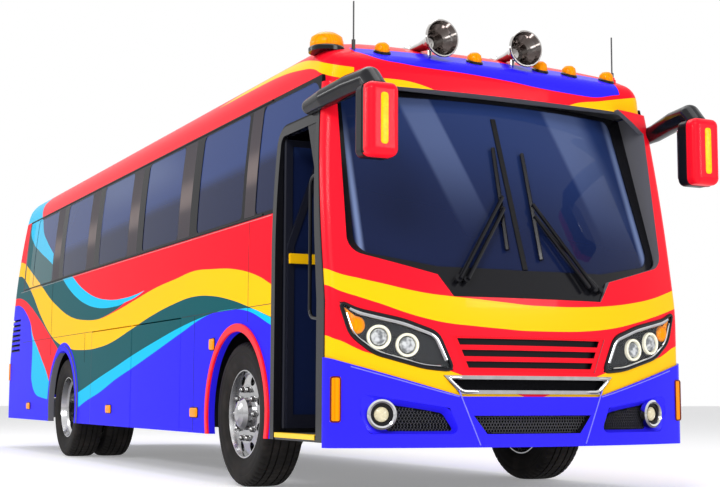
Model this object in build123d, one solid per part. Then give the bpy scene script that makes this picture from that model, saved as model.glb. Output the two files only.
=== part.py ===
"""A single-deck party bus: a coach body on a ladder chassis, with twin rear tyres.

Millimetres. +Z is up, -Y is forward, +X is the bus's left side and the entry door is on its right.
The origin is on the ground, in the middle of the overall box.
Lengthwise places are stations: distances back from the foremost point of the front bumper.
Heights are above the ground.
"""
from build123d import *
from functools import lru_cache
from math import asin, cos, degrees, pi, radians, sin, sqrt, tan
import os

os.makedirs("parts", exist_ok=True)

# ---- body size, over the bumper and the wheel arch lips ----
BODY_LENGTH = 9400.0
HALF_WIDTH = 1265.0
SKIN = 15.0                   # the painted walls lie this far inside those
SKIRT_Z = 333.0               # lower edge of the side walls
TUMBLE_Z = 1450.0             # the side walls lean in above this height
EAVE_HALF = 1185.0            # half width where the roof corner starts
EAVE_Z = 2590.0
ROOF_CORNER_R = 260.0
ROOF_CORNER_TURN = 70.0       # degrees of turn in the roof corner
CROWN_Z = 2945.0              # roof height on the centre line
WALL = 45.0                   # thickness of side, roof and end walls
SEAM = 0.3                    # gap between pieces that meet on curved faces
NOSE_CORNER_R = 80.0          # vertical corners beside the windshield
TAIL_CORNER_R = 150.0
CAP_CORNER_R = 150.0

# ---- nose and tail ----
NOSE_PLAN_R = 3700.0          # curve of the front, seen from above
LEAN = 9.0                    # lean of the front corner posts, degrees
LEAN_Z = 1150.0
NOSE_BEND_R = 1300.0          # bend from the upright fascia to the posts
TAIL_PLAN_R = 6500.0
TAIL_LEAN = 15.0
TAIL_LEAN_Z = 950.0
TAIL_BEND_R = 900.0
TAIL_TOP_R = 640.0            # curve from the rear wall to the roof
TAIL_TOP_Z = 2480.0

# ---- roof cap above the windshield ----
CAP_Z = 2480.0                # underside of the cap
CAP_FACE = 345.0              # station of its front face on the centre line
CAP_PLAN_R = 8000.0
CAP_FACE_TOP = 2570.0
CAP_EDGE_R = 150.0
CAP_EDGE_TURN = 62.0
CAP_DOME_R = 2250.0
CAP_END = 1250.0              # station where the main roof takes over
CAP_CUT = 640.0               # the cap's brow reaches back to here

# ---- wheels ----
FRONT_AXLE = 1705.0
REAR_AXLE = 6568.0
TYRE_R = 479.0
TYRE_W = 276.0
TYRE_FACETS = 48
RIM_R = 292.0                 # outer radius of the rim flange
RIM_HALF = 112.0
RIM_T = 8.0
BEAD_R = 286.0                # inner radius of the tyre
WELL_R = 250.0
FLANGE_T = 9.0
DISC_T = 11.0
DISC_ROOT = 66.0              # where the disc leaves the barrel, from the rim's centre plane
DISC_EDGE_R = 276.0
DISC_FLAT_R = 196.0           # flat bolting face
DISC_BORE_R = 70.0
DISC_REACH = 92.0             # the front wheel's bolting face
HAND_HOLES = 8
HAND_HOLE_R = 34.0
HAND_HOLE_AT = 236.0
STUDS = 10
STUD_R = 11.0
STUD_AT = 167.5               # radius of the stud circle
STUD_OUT = 26.0
HUB_R = 109.0
DRUM_R = 200.0
SPINDLE_R = 35.0
SPINDLE_END = 100.0           # beyond the wheel's centre plane
SHAFT_R = 45.0
SHAFT_SHORT = 60.0            # the rear shafts end this far inside the outer wheel's centre plane
WHEEL_X = 1080.0              # centre plane of the front and outer rear tyres
TWIN_PITCH = 312.0            # outer to inner rear tyre
ARCH_R = 545.0                # opening in the side wall
ARCH_LIP = 55.0               # width of the lip round the opening

# ---- entry door, a pair of panels that fold against its rear jamb ----
DOOR_FRONT = 272.0            # front edge of the front post at the skirt
DOOR_FRONT_TOP = 455.0        # and at the door's top, behind the leaning corner post
DOOR_OPEN_FRONT = 380.0       # front edge of the opening between the posts
DOOR_OPEN_TOP = 490.0         # and at the opening's top
DOOR_REAR = 1088.0
DOOR_TOP = 2290.0
DOOR_FRAME_W = 60.0
DOOR_CORNER_R = 110.0         # rounded corner at the door's rear top
DOOR_PROUD = 6.0
DOOR_SILL = 372.0             # top of the lowest step
PANEL_T = 30.0
PANEL_STILE = 42.0
PANE_T = 6.0
PANEL_STEP = 4.0              # the closed door's free edge, ahead of the opening
PANEL_FOOT = 28.0             # above the sill
PANEL_HEAD = 12.0             # below the frame
SCREEN_ROOM = 14.0            # between the windshield's frame and the swinging door
HINGE_IN = 10.0               # hinge line behind the opening's rear edge
BRACKET = 10.0                # brackets that carry the rear panel's pins
PIN_HOLD = 24.0               # depth of a pin in the panel
KNUCKLE_R = 8.0               # hinges between the panels
KNUCKLE = 60.0
KNUCKLE_END = 20.0            # from a panel's end to its nearest hinge
GUSSET_T = 8.0                # dark plate ahead of the panel's cut corner
RAIL_R = 11.0                 # handrail on the front post
RAIL_S = 569.0
RAIL_TOP_Z = 1925.0
RAIL_LOW_Z = 1040.0
RAIL_RISE = 25.0
RAIL_BEND = 60.0
BAR_HIGH = 62.0               # bar across the front panel
BAR_Z = 1424.0
BAR_OUT = 26.0
PANEL_GAP = 6.0               # between the folded panels
PANEL_HINGE_OUT = 10.0        # hinge line beyond the panels' edges
HINGE_PIN_R = 6.0
RUN = 0.3                     # clearance round pins and shafts
MOVE = 6.0                    # clearance round what swings

# ---- side windows ----
BELT_Z = 1750.0
GLASS_LOW = 1778.0
GLASS_TOP = 2502.0
BAND_TOP = 2530.0
BAND_END = 8560.0
WINDOW_FIRST = 1667.0         # front edge of the first long window
WINDOW_PITCH = 1380.0
WINDOW_LEN = 935.0
WINDOW_COUNT = 5
QUARTER_REAR = 1418.0
QUARTER_GAP = 14.0            # between the door's frame and the pane round it
QUARTER_CORNER_R = 150.0
DRIVER_FRONT = 560.0          # left side
WINDOW_R = 45.0
GLASS_SET = 4.0
GLASS_T = 6.0

# ---- floor and lockers ----
FLOOR_TOP = 1100.0
FLOOR_T = 50.0
LOCKER_WALL_X = 480.0         # the luggage lockers' inner walls
LOCKER_FLOOR = 30.0           # above the walls' lower edge
HOUSING_FRONT_X = 640.0       # the wheel housings' inner walls
HOUSING_REAR_X = 600.0
HOUSING_FRONT = 605.0         # half length round the steered wheels
HOUSING_REAR = 560.0
FLAP_TOP = 1160.0
FLAP_FRONT = 2897.0           # station of the first luggage flap
FLAP_LEN = 1296.0
FLAP_GAP = 12.0
FLAP_COUNT = 2
FLAP_T = 35.0
FLAP_BARREL_R = 11.0

# ---- front ----
POST_X = 1125.0               # windshield surround, half width
CHEEK_T = 25.0
SCREEN_S = 50.0               # station of the windshield's surface at SCREEN_Z
SCREEN_Z = 1190.0
SCREEN_RAKE = 18.8
SCREEN_PLAN_R = 3800.0
SCREEN_T = 8.0
SCREEN_HALF = 1062.0
SCREEN_LOW = 1356.0
SCREEN_SIDE_LOW = 1445.0
SCREEN_TOP = 2450.0
SCREEN_TAPER = 60.0           # the glass is this much narrower at the top, each side
SCREEN_CORNER_R = 110.0
SURROUND_PROUD = 12.0
SURROUND_BACK = 6.0
EAR_X = 1010.0                # red corners between the posts and the roof's brow
EAR_IN = 880.0
EAR_Z = 2345.0
WIPER_OUT = 40.0              # arms in front of the glass
MASK_LOW = 1182.0
MASK_DIP = 520.0
MASK_STEP = 1310.0
MASK_SIDE = 1440.0
MASK_SLANT = 90.0             # width of the step in the surround's lower edge
BUMPER_LOW = 306.0
BUMPER_TOP = 600.0
BUMPER_FLAT = 480.0
BUMPER_SIDE_TOP = 820.0
GRILLE_SLOTS = 3
GRILLE_SLOT = 38.0             # height of a slot
GRILLE_PITCH = 67.0
GRILLE_EDGE = 22.0             # panel left under the lowest slot
GRILLE_END = 34.0              # and past a slot's end
# outlines in the front as (x, height): whole ones for the left side, or the half of a middle one
GRILLE = ((0.0, 745.0), (455.0, 745.0), (540.0, 950.0), (0.0, 950.0))
CHROME = ((0.0, 615.0), (490.0, 615.0), (590.0, 722.0), (0.0, 722.0))
CHROME_MOUTH = ((0.0, 637.0), (468.0, 637.0), (548.0, 700.0), (0.0, 700.0))
MESH = ((0.0, 383.0), (325.0, 383.0), (410.0, 490.0), (0.0, 490.0))
HEADLAMP = ((1187.0, 1143.0), (1095.0, 1095.0), (826.0, 1038.0), (622.0, 966.0), (526.0, 750.0),
            (700.0, 765.0), (995.0, 845.0), (1127.0, 950.0))
POCKET = ((491.0, 384.0), (1026.0, 385.0), (1078.0, 500.0), (1070.0, 612.0), (557.0, 534.0))
POCKET_R = 36.0
CORNER_LAMP = (1186.0, 1238.0, 455.0, 707.0)  # x and height limits

# ---- tail ----
TAIL_CUT = 9230.0             # where the side walls meet the rear wall
VENT_FRONT = 8650.0
VENT_REAR = 9100.0
VENT_LOW = 1080.0
VENT_PITCH = 56.0
VENT_OPEN = 28.0
VENT_SLOTS = 7
ENGINE_DOOR_HALF = 780.0
ENGINE_DOOR_LOW = 560.0
ENGINE_DOOR_TOP = 1330.0
HINGE_SHARE = 0.4             # of the engine door's half width
REAR_GLASS = ((0.0, 1800.0), (760.0, 1800.0), (800.0, 1840.0), (800.0, 2300.0), (740.0, 2360.0),
              (0.0, 2360.0))
REAR_LAMP = (1040.0, 1160.0, 700.0, 1300.0)
LUG_T = 20.0                  # lugs that hold the engine door's hinge pin
LUG_OUT = 9.0
LUG_RUN = 30.0
REAR_BUMPER_HALF = 1000.0
REAR_BUMPER_LOW = 350.0
REAR_BUMPER_TOP = 540.0

# ---- entry steps ----
STEP_COUNT = 3
STEP_FIRST = 380.0            # depth of the lowest tread
STEP_DEPTH = 205.0
STEP_T = 12.0

# ---- seats ----
SEAT_WALL_GAP = 60.0
DRIVER_X = 620.0              # middle of the driver's seat and wheel
DRIVER_S = 1010.0
DRIVER_BACK = 160.0
DRIVER_SEAT_W = 480.0
DASH_DEPTH = 560.0
DASH_TOP = 1400.0
WHEEL_S = 770.0
WHEEL_Z = 1507.0
STEERING_R = 225.0
SEAT_FIRST = 1480.0
SEAT_PITCH = 780.0
SEAT_ROWS = 9
SEAT_WIDTH = 880.0
SEAT_HIGH = 1110.0

# ---- chassis ----
CROSS_STATIONS = (310.0, 1240.0, 2600.0, 4200.0, 5700.0, 7400.0, 9000.0)
RAIL_X = 430.0                # outer face of the rails
RAIL_W = 75.0
RAIL_LOW = 600.0
RAIL_TOP = 800.0
RAIL_T = 9.0
CROSS_HALF = 30.0             # half width of crossmembers and floor supports
CROSS_HIGH = 120.0

ENGINE_FRONT = 7620.0
ENGINE_LEN = 1150.0
ENGINE_LOW = 500.0

# ---- roof fittings and lamps ----
ANTENNA_TOP = 3030.0
ANTENNA_S = 560.0
HORN_S = 400.0
BEACON_X = 1085.0
BEACON_S = 640.0
BEACON_R = 105.0
LAMP_OUT = 5.0
SIDE_LAMPS = (2560.0, 4860.0, 8100.0)

# ---- steering ----
KINGPIN_X = 868.0
KINGPIN_R = 20.0
STEER_ARM = 200.0             # tie-rod pins behind the axle
BEAM_HALF = 40.0
EYE_GAP = 60.0                # the beam's eyes reach this far above and below the axle line
EYE_END = 106.0               # and the knuckle's eyes this far
EYE_R = 44.0
ARM_T = 26.0
ROD_R = 13.0
ROD_EYE_R = 22.0
ROD_PIN_R = 10.0
ROD_DROP = 66.0
AXLE_TUBE_X = 600.0
AXLE_TUBE_R = 70.0
DIFF_R = 190.0
DRIVE_R = 38.0

# ---- mirrors ----
MIRROR_REACH = 250.0          # mirror heads ahead of the bumper face
MIRROR_X = 1130.0
MIRROR_Z = 2130.0
MIRROR_W = 200.0
MIRROR_D = 200.0
MIRROR_H = 420.0
MIRROR_R = 45.0
ARM_R = 64.0                  # the left arm's end in the head, and (x, station, z, radius) before it
ARM_KNOTS = ((1222.0, 575.0, 2341.0, 50.0), (1212.0, 370.0, 2357.0, 60.0), (1168.0, 130.0, 2383.0, 67.0),
             (1136.0, -70.0, 2390.0, 66.0))
WIPER_STEP = 48.0             # between a wiper's two pivots

TOTAL_LENGTH = BODY_LENGTH + MIRROR_REACH
NOSE_Y = -TOTAL_LENGTH / 2 + MIRROR_REACH


def station(s):
    """Y of a station."""
    return NOSE_Y + s


def block(x0, x1, s0, s1, z0, z1):
    """A box between two x values, two stations and two heights."""
    size = Box(abs(x1 - x0), abs(s1 - s0), abs(z1 - z0))
    return Pos((x0 + x1) / 2, station((s0 + s1) / 2), (z0 + z1) / 2) * size


def rod(a, b, r):
    """A round bar between two points given as (x, station, z)."""
    start = Vector(a[0], station(a[1]), a[2])
    run = Vector(b[0], station(b[1]), b[2]) - start
    return Solid.make_cylinder(r, run.length, Plane(origin=start, z_dir=run))


def tube_path(points, r, bend):
    """A bent round bar through points given as (x, station, z)."""
    path = FilletPolyline(*[Vector(x, station(s), z) for x, s, z in points], radius=bend)
    return sweep(Plane(origin=path @ 0, z_dir=path % 0) * Circle(r), path=path)


def outline_face(points, rounded=()):
    """A flat face over a closed outline; rounded lists (corner point, radius)."""
    face = make_face(Polyline(*points, close=True))
    for (a, b), r in rounded:
        corner = [v for v in face.vertices() if abs(v.X - a) < 0.01 and abs(v.Y - b) < 0.01]
        face = fillet(corner, r)
    return face


def front_outline(points, s0, s1, rounded=()):
    """A prism along Y over an outline drawn in x and z."""
    prism = extrude(Plane.XZ * outline_face(points, rounded), amount=-(s1 - s0))
    return Pos(0, station(s0), 0) * prism


def both_sides(rounded):
    """The same corner radii on both sides of the centre line."""
    return [((side * x, z), r) for (x, z), r in rounded for side in (-1, 1)]


def side_outline(face, x0, x1):
    """A prism along X over a sketch drawn in station and height."""
    lifted = Plane(origin=(x0, station(0), 0), x_dir=(0, 1, 0), z_dir=(1, 0, 0)) * face
    return extrude(lifted, amount=x1 - x0)


def spin(points, s, z, x=0.0, side=1):
    """A turned piece about the axle line: points are (x, radius), outboard positive."""
    face = make_face(Polyline(*[(px, pr) for px, pr in points], close=True))
    turned = revolve(face, axis=Axis.X, revolution_arc=360)
    if side < 0:
        turned = mirror(turned, about=Plane.YZ)
    return Pos(side * x, station(s), z) * turned


def both(piece):
    """A piece and its mirror image."""
    return [piece, mirror(piece, about=Plane.YZ)]


def flip(piece):
    """The mirror image on the other side."""
    return mirror(piece, about=Plane.YZ)


# ---- outer form of the body, at any depth below its skin ----
FAR = 400.0                   # how far the construction solids run past the body


def cross_section(inset):
    """The body as a prism over its cross section, before its ends are shaped."""
    low = SKIRT_Z - FAR
    top = (0, CROWN_Z - inset)
    lean = HALF_WIDTH - EAVE_HALF
    barrel_r = (lean ** 2 + (EAVE_Z - TUMBLE_Z) ** 2) / (2 * lean)
    barrel_turn = degrees(asin((EAVE_Z - TUMBLE_Z) / barrel_r))
    wall = Line((HALF_WIDTH - inset, low), (HALF_WIDTH - inset, TUMBLE_Z))
    barrel = JernArc(wall @ 1, (0, 1), barrel_r - inset, barrel_turn)
    corner = JernArc(barrel @ 1, barrel % 1, ROOF_CORNER_R - inset, ROOF_CORNER_TURN)
    crown = ThreePointArc(corner @ 1, crown_middle(corner @ 1, top), top)
    base = Polyline(top, (0, low), (HALF_WIDTH - inset, low))
    half = make_face([wall, barrel, corner, crown, base])
    whole = half + mirror(half, about=Plane.YZ)
    prism = extrude(Plane.XZ * whole, amount=-(BODY_LENGTH + 2 * FAR))
    return Pos(0, station(-FAR), 0) * prism


def crown_middle(end, top):
    """A point on the arc from the roof corner's end to the crown, level at the top."""
    rise = top[1] - end.Y
    radius = (end.X ** 2 + rise ** 2) / (2 * rise)
    half_turn = asin(end.X / radius) / 2
    return (radius * sin(half_turn), top[1] - radius * (1 - cos(half_turn)))


def turned_end(outline, centre):
    """An end of the body: a side outline (station, z) turned half round an upright line."""
    face = make_face(outline)
    upright = Plane(origin=(0, station(0), 0), x_dir=(0, 1, 0), z_dir=(1, 0, 0)) * face
    line = Axis((0, station(centre), 0), (0, 0, 1))
    return revolve(upright.rotate(line, -90), axis=line, revolution_arc=180)


def middle_block(centre, way):
    """The rest of the length, from the upright line of an end to the far end."""
    near = centre - way * WALL * 3
    far = near + way * BODY_LENGTH
    return block(-2 * HALF_WIDTH, 2 * HALF_WIDTH, near, far, SKIRT_Z - 2 * FAR, CROWN_Z + 2 * FAR)


def nose(inset):
    """Everything behind the curved front."""
    low = SKIRT_Z - FAR
    bend_low = LEAN_Z - NOSE_BEND_R * tan(radians(LEAN / 2))
    upright = Line((inset, low), (inset, bend_low))
    bend = JernArc(upright @ 1, (0, 1), NOSE_BEND_R - inset, -LEAN)
    top = CROWN_Z + FAR
    reach = (bend @ 1).X + (top - (bend @ 1).Y) * tan(radians(LEAN))
    rest = Polyline(bend @ 1, (reach, top), (NOSE_PLAN_R, top), (NOSE_PLAN_R, low), (inset, low))
    return turned_end([upright, bend, rest], NOSE_PLAN_R) + middle_block(NOSE_PLAN_R, 1)


def tail(inset):
    """Everything ahead of the curved rear."""
    low = SKIRT_Z - FAR
    centre = BODY_LENGTH - TAIL_PLAN_R
    bend_low = TAIL_LEAN_Z - TAIL_BEND_R * tan(radians(TAIL_LEAN / 2))
    slope_low = bend_low + TAIL_BEND_R * sin(radians(TAIL_LEAN))
    slope_run = (TAIL_TOP_Z - slope_low) / cos(radians(TAIL_LEAN))
    upright = Line((BODY_LENGTH - inset, low), (BODY_LENGTH - inset, bend_low))
    bend = JernArc(upright @ 1, (0, 1), TAIL_BEND_R - inset, TAIL_LEAN)
    slope = Line(bend @ 1, bend @ 1 + bend % 1 * slope_run)
    top = JernArc(slope @ 1, slope % 1, TAIL_TOP_R - inset, 90 - TAIL_LEAN)
    rest = Polyline(top @ 1, (centre, (top @ 1).Y), (centre, low), (BODY_LENGTH - inset, low))
    return turned_end([upright, bend, slope, top, rest], centre) + middle_block(centre, -1)


def cap_nose(inset):
    """Everything behind the roof cap's curved brow."""
    low = CAP_Z - FAR
    centre = CAP_FACE + CAP_PLAN_R
    face_line = Line((CAP_FACE + inset, low), (CAP_FACE + inset, CAP_FACE_TOP))
    edge = JernArc(face_line @ 1, (0, 1), CAP_EDGE_R - inset, -CAP_EDGE_TURN)
    dome = JernArc(edge @ 1, edge % 1, CAP_DOME_R - inset, CAP_EDGE_TURN - 90)
    rest = Polyline(dome @ 1, (centre, (dome @ 1).Y), (centre, low), (CAP_FACE + inset, low))
    return turned_end([face_line, edge, dome, rest], centre)


def upright_corners(solid, s0, s1, top):
    """The corner edges between the side walls and an end, up to a height."""
    picked = []
    for edge in solid.edges():
        middle = edge @ 0.5
        rise = edge.bounding_box().size.Z
        high = max((edge @ 0).Z, (edge @ 1).Z)
        inside = station(s0) < middle.Y < station(s1)
        if inside and rise > 1 and high < top + 1 and abs(middle.X) > EAVE_HALF - 3 * WALL:
            picked.append(edge)
    return picked


def tail_face(z):
    """Station of the painted rear wall on the centre line, on its leaning part."""
    bend_r = TAIL_BEND_R - SKIN
    bend_low = TAIL_LEAN_Z - TAIL_BEND_R * tan(radians(TAIL_LEAN / 2))
    above = z - bend_low - bend_r * sin(radians(TAIL_LEAN))
    return BODY_LENGTH - SKIN - bend_r * (1 - cos(radians(TAIL_LEAN))) - above * tan(radians(TAIL_LEAN))


def hinge_rod(half, r):
    """A bar on the engine door's hinge line."""
    s = tail_face(ENGINE_DOOR_TOP)
    return rod((-half, s, ENGINE_DOOR_TOP), (half, s, ENGINE_DOOR_TOP), r)


@lru_cache(maxsize=None)
def envelope(inset):
    """The body without its roof cap, the given depth inside the bumper and arch lips."""
    form = cross_section(inset) & nose(inset)
    form = form & tail(inset)
    quarter = BODY_LENGTH / 4
    form = fillet(upright_corners(form, 0, quarter, EAVE_Z), NOSE_CORNER_R - inset)
    rear = upright_corners(form, BODY_LENGTH - quarter, BODY_LENGTH + 1, EAVE_Z)
    return fillet(rear, TAIL_CORNER_R - inset)


@lru_cache(maxsize=None)
def cap_envelope(inset):
    """The front of the roof, with the brow that overhangs the windshield."""
    front = block(-HALF_WIDTH, HALF_WIDTH, -FAR, CAP_END, CAP_Z, CROWN_Z)
    form = (cross_section(inset) & front) & cap_nose(inset)
    edges = upright_corners(form, 0, CAP_END - 1, CROWN_Z)
    edges = [edge for edge in edges if edge.bounding_box().size.Y > 0.5]
    return fillet(edges, CAP_CORNER_R - inset)


def layer(depth, thickness):
    """A layer of the body's wall, from a depth below the painted skin."""
    return envelope(SKIN + depth) - envelope(SKIN + depth + thickness)


def save(name, piece):
    """Write a piece, or a list of like pieces, as one named part."""
    solids = []
    for item in piece if isinstance(piece, list) else [piece]:
        solids += item.solids()
    made = solids[0] if len(solids) == 1 else Compound(children=solids)
    made.label = name
    export_step(made, f"parts/{name}.step")


WALL_LAYER = layer(0, WALL)
INSIDE = envelope(SKIN + WALL + SEAM)
WIDE = HALF_WIDTH + FAR
AXLE_Z = TYRE_R
ROD_Z = AXLE_Z - ROD_DROP


# ---- side walls below the windows ----
def post_line(z):
    """Station of the front post's front edge, on its leaning part."""
    return DOOR_FRONT + (DOOR_FRONT_TOP - DOOR_FRONT) * (z - LEAN_Z) / (DOOR_TOP - LEAN_Z)


def front_zone():
    """What belongs to the front of the body: ahead of the leaning door post."""
    top = post_line(BAND_TOP)
    low = SKIRT_Z - FAR
    points = [(-FAR, low), (DOOR_FRONT, low), (DOOR_FRONT, LEAN_Z), (top, BAND_TOP), (-FAR, BAND_TOP)]
    return side_outline(outline_face(points), -WIDE, WIDE)


FRONT_ZONE = front_zone()


def arch_cut(s, r):
    """A round cut across the body at an axle."""
    return rod((-WIDE, s, AXLE_Z), (WIDE, s, AXLE_Z), r)


def arch_lip(s):
    """A raised lip round a wheel opening, flush with the bumper."""
    ring = side_outline(Circle(ARCH_R + ARCH_LIP) - Circle(ARCH_R), HALF_WIDTH - SKIN, HALF_WIDTH)
    ring = Pos(0, s, AXLE_Z) * ring
    ring = ring & block(0, WIDE, s - FAR * 2, s + FAR * 2, SKIRT_Z, BELT_Z)
    rim = [e for e in ring.edges() if e.geom_type == GeomType.CIRCLE and (e @ 0.5).X > HALF_WIDTH - 1]
    return fillet(rim, SKIN * 0.6)


def flap_starts():
    """Stations of the luggage flaps' front edges."""
    return [FLAP_FRONT + i * (FLAP_LEN + FLAP_GAP) for i in range(FLAP_COUNT)]


def tail_zone():
    """What belongs to the rear wall: behind a line that leans with the tail."""
    slope = tan(radians(TAIL_LEAN))
    low = SKIRT_Z - FAR
    high = TAIL_CUT - (BAND_TOP + FAR - TAIL_LEAN_Z) * slope
    points = [(TAIL_CUT, low), (TAIL_CUT, TAIL_LEAN_Z), (high, BAND_TOP + FAR)]
    points += [(BODY_LENGTH + FAR, BAND_TOP + FAR), (BODY_LENGTH + FAR, low)]
    return side_outline(outline_face(points), -WIDE, WIDE)


TAIL_ZONE = tail_zone()


def side_wall():
    """The left side wall, with its wheel arches, flap openings and fixed hinge pins."""
    wall = WALL_LAYER & block(HALF_WIDTH * 0.8, WIDE, 0, BODY_LENGTH, SKIRT_Z, BELT_Z)
    wall = wall + (WALL_LAYER & block(HALF_WIDTH * 0.8, WIDE, BAND_END, BODY_LENGTH, BELT_Z, BAND_TOP))
    wall = wall - FRONT_ZONE - TAIL_ZONE
    for s in (FRONT_AXLE, REAR_AXLE):
        wall = wall - arch_cut(s, ARCH_R)
    for s in flap_starts():
        top = FLAP_TOP + FLAP_BARREL_R + MOVE
        wall = wall - block(HALF_WIDTH / 2, WIDE, s, s + FLAP_LEN, SKIRT_Z - 1, top)
        x = HALF_WIDTH - SKIN - FLAP_BARREL_R
        wall = wall + rod((x, s - 1, FLAP_TOP), (x, s + FLAP_LEN + 1, FLAP_TOP), HINGE_PIN_R)
    return wall


def luggage_flap(s):
    """A top-hinged flap: a plate under a barrel that turns on the wall's pin."""
    x = HALF_WIDTH - SKIN - FLAP_BARREL_R
    near, far = s + MOVE, s + FLAP_LEN - MOVE
    outer = HALF_WIDTH - SKIN
    plate = block(outer - FLAP_T, outer, near, far, SKIRT_Z, FLAP_TOP)
    barrel = rod((x, near, FLAP_TOP), (x, far, FLAP_TOP), FLAP_BARREL_R)
    bore = rod((x, near - 1, FLAP_TOP), (x, far + 1, FLAP_TOP), HINGE_PIN_R + RUN)
    return plate + barrel - bore


def tail_vent(wall):
    """Rows of slots for the engine air."""
    for i in range(VENT_SLOTS):
        z = VENT_LOW + i * VENT_PITCH
        wall = wall - block(HALF_WIDTH / 2, WIDE, VENT_FRONT, VENT_REAR, z, z + VENT_OPEN)
    return wall


def door_room():
    """What the door's frame takes out of the right wall and window band."""
    corner = (DOOR_REAR, DOOR_TOP)
    points = [(0, SKIRT_Z - 1), (0, DOOR_TOP), corner, (DOOR_REAR, SKIRT_Z - 1)]
    return side_outline(outline_face(points, [(corner, DOOR_CORNER_R)]), -WIDE, -HALF_WIDTH / 2)


left_wall = tail_vent(side_wall()) + arch_lip(REAR_AXLE)
door_hole = door_room()
save("side_wall_left", left_wall)
save("side_wall_right", flip(left_wall) - door_hole)
save("arch_lips_front", both(arch_lip(FRONT_AXLE)))
for i, s in enumerate(flap_starts()):
    place = ("front", "rear")[i]
    save(f"luggage_flap_left_{place}", luggage_flap(s))
    save(f"luggage_flap_right_{place}", flip(luggage_flap(s)))


# ---- window band ----
def window_hole(s0, s1, shrink=0.0):
    """A window opening in the left side, with rounded corners."""
    w, h = s1 - s0 - 2 * shrink, GLASS_TOP - GLASS_LOW - 2 * shrink
    face = Pos((s0 + s1) / 2, (GLASS_LOW + GLASS_TOP) / 2) * RectangleRounded(w, h, WINDOW_R - shrink)
    return side_outline(face, HALF_WIDTH / 2, WIDE)


def quarter_hole(shrink=0.0):
    """The right side's first pane: behind the door and on over it, to the front corner post."""
    rear, low, top = QUARTER_REAR - shrink, GLASS_LOW + shrink, GLASS_TOP - shrink
    near, over = DOOR_REAR + QUARTER_GAP + shrink, DOOR_TOP + QUARTER_GAP + shrink
    ahead = QUARTER_GAP + shrink
    inner, front = (near, over), (post_line(top) + ahead, top)
    points = [(post_line(over) + ahead, over), front, (rear, top), (rear, low), (near, low), inner]
    rounded = [(inner, DOOR_CORNER_R + ahead), (front, QUARTER_CORNER_R - shrink)]
    rounded += [(p, WINDOW_R - shrink) for p in ((rear, top), (rear, low))]
    face = outline_face(points, rounded)
    return side_outline(face, HALF_WIDTH / 2, WIDE)


def window_holes(right, shrink=0.0):
    """Every window opening of one side, drawn on the left."""
    first = quarter_hole(shrink) if right else window_hole(DRIVER_FRONT, QUARTER_REAR, shrink)
    starts = [WINDOW_FIRST + i * WINDOW_PITCH for i in range(WINDOW_COUNT)]
    return [first] + [window_hole(s, s + WINDOW_LEN, shrink) for s in starts]


def window_band(right):
    """The left band of pillars round the side windows."""
    band = WALL_LAYER & block(HALF_WIDTH * 0.8, WIDE, 0, BAND_END, BELT_Z, BAND_TOP)
    band = band - FRONT_ZONE
    for hole in window_holes(right):
        band = band - hole
    return band


def side_panes(right):
    """The panes of one side, drawn on the left."""
    sheet = layer(GLASS_SET, GLASS_T) & block(HALF_WIDTH * 0.8, WIDE, 0, BAND_END, BELT_Z, BAND_TOP)
    return [sheet & hole for hole in window_holes(right, SEAM)]


save("window_band_left", window_band(False))
save("window_band_right", flip(window_band(True)) - door_hole)
save("side_glass", side_panes(False) + [flip(p) for p in side_panes(True)])

# ---- roof ----
save("roof_shell", WALL_LAYER & block(-WIDE, WIDE, CAP_END, BODY_LENGTH + 1, BAND_TOP, CROWN_Z))


def roof_cap():
    """The front of the roof: a shell with a floor under its brow."""
    hollow = cap_envelope(SKIN + WALL) & block(-WIDE, WIDE, 0, CAP_END + 1, CAP_Z + WALL, CROWN_Z)
    shell = cap_envelope(SKIN) - hollow
    behind = block(-WIDE, WIDE, CAP_CUT, CAP_END + 1, CAP_Z - 1, BAND_TOP)
    inside = block(-WIDE, WIDE, CAP_CUT - 1, CAP_END + 1, CAP_Z - 1, CAP_Z + WALL + 1)
    corner_posts = block(-WIDE, WIDE, 0, CAP_CUT, CAP_Z - 1, BAND_TOP) - FRONT_ZONE
    return shell - behind - inside - corner_posts


save("roof_cap", roof_cap())


# ---- front ----
def screen_form(depth):
    """Everything behind the windshield's curved, raked surface."""
    low, top = SKIRT_Z - FAR, CROWN_Z + FAR
    slope = tan(radians(SCREEN_RAKE))
    at_low = SCREEN_S + depth / cos(radians(SCREEN_RAKE)) + (low - SCREEN_Z) * slope
    at_top = at_low + (top - low) * slope
    centre = SCREEN_S + SCREEN_PLAN_R
    outline = Polyline((at_low, low), (at_top, top), (centre, top), (centre, low), close=True)
    return turned_end(outline, centre)


def mirrored(points):
    """A closed outline from its right half, listed from the centre line outwards and back."""
    return points + [(-x, z) for x, z in reversed(points) if x > 0]


def aperture(grow=0.0, ears=True):
    """Outline of the windshield's black surround in the front."""
    side = (POST_X + grow, MASK_SIDE - grow)
    points = [(0, MASK_LOW - grow), (MASK_DIP, MASK_LOW - grow)]
    points += [(MASK_DIP + MASK_SLANT + grow, MASK_STEP - grow), side]
    if ears:
        points += [(POST_X + grow, EAR_Z), (EAR_X, (EAR_Z + CAP_Z) / 2), (EAR_IN, CAP_Z + 1)]
    else:
        points += [(POST_X + grow, CAP_Z + 1)]
    points += [(0, CAP_Z + 1)]
    return front_outline(mirrored(points), -FAR, CAP_END, both_sides([(side, SCREEN_CORNER_R + grow)]))


def screen_outline(shrink=0.0):
    """Outline of the windshield's glass."""
    half, low, top = SCREEN_HALF - shrink, SCREEN_LOW + shrink, SCREEN_TOP - shrink
    side, crown = (half, SCREEN_SIDE_LOW + shrink), (half - SCREEN_TAPER, top)
    points = [(0, low), (half * 0.55, low + 6), side, crown, (0, top)]
    rounded = both_sides([(side, SCREEN_CORNER_R - shrink), (crown, SCREEN_TAPER)])
    return front_outline(mirrored(points), -FAR, CAP_END, rounded)


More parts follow.
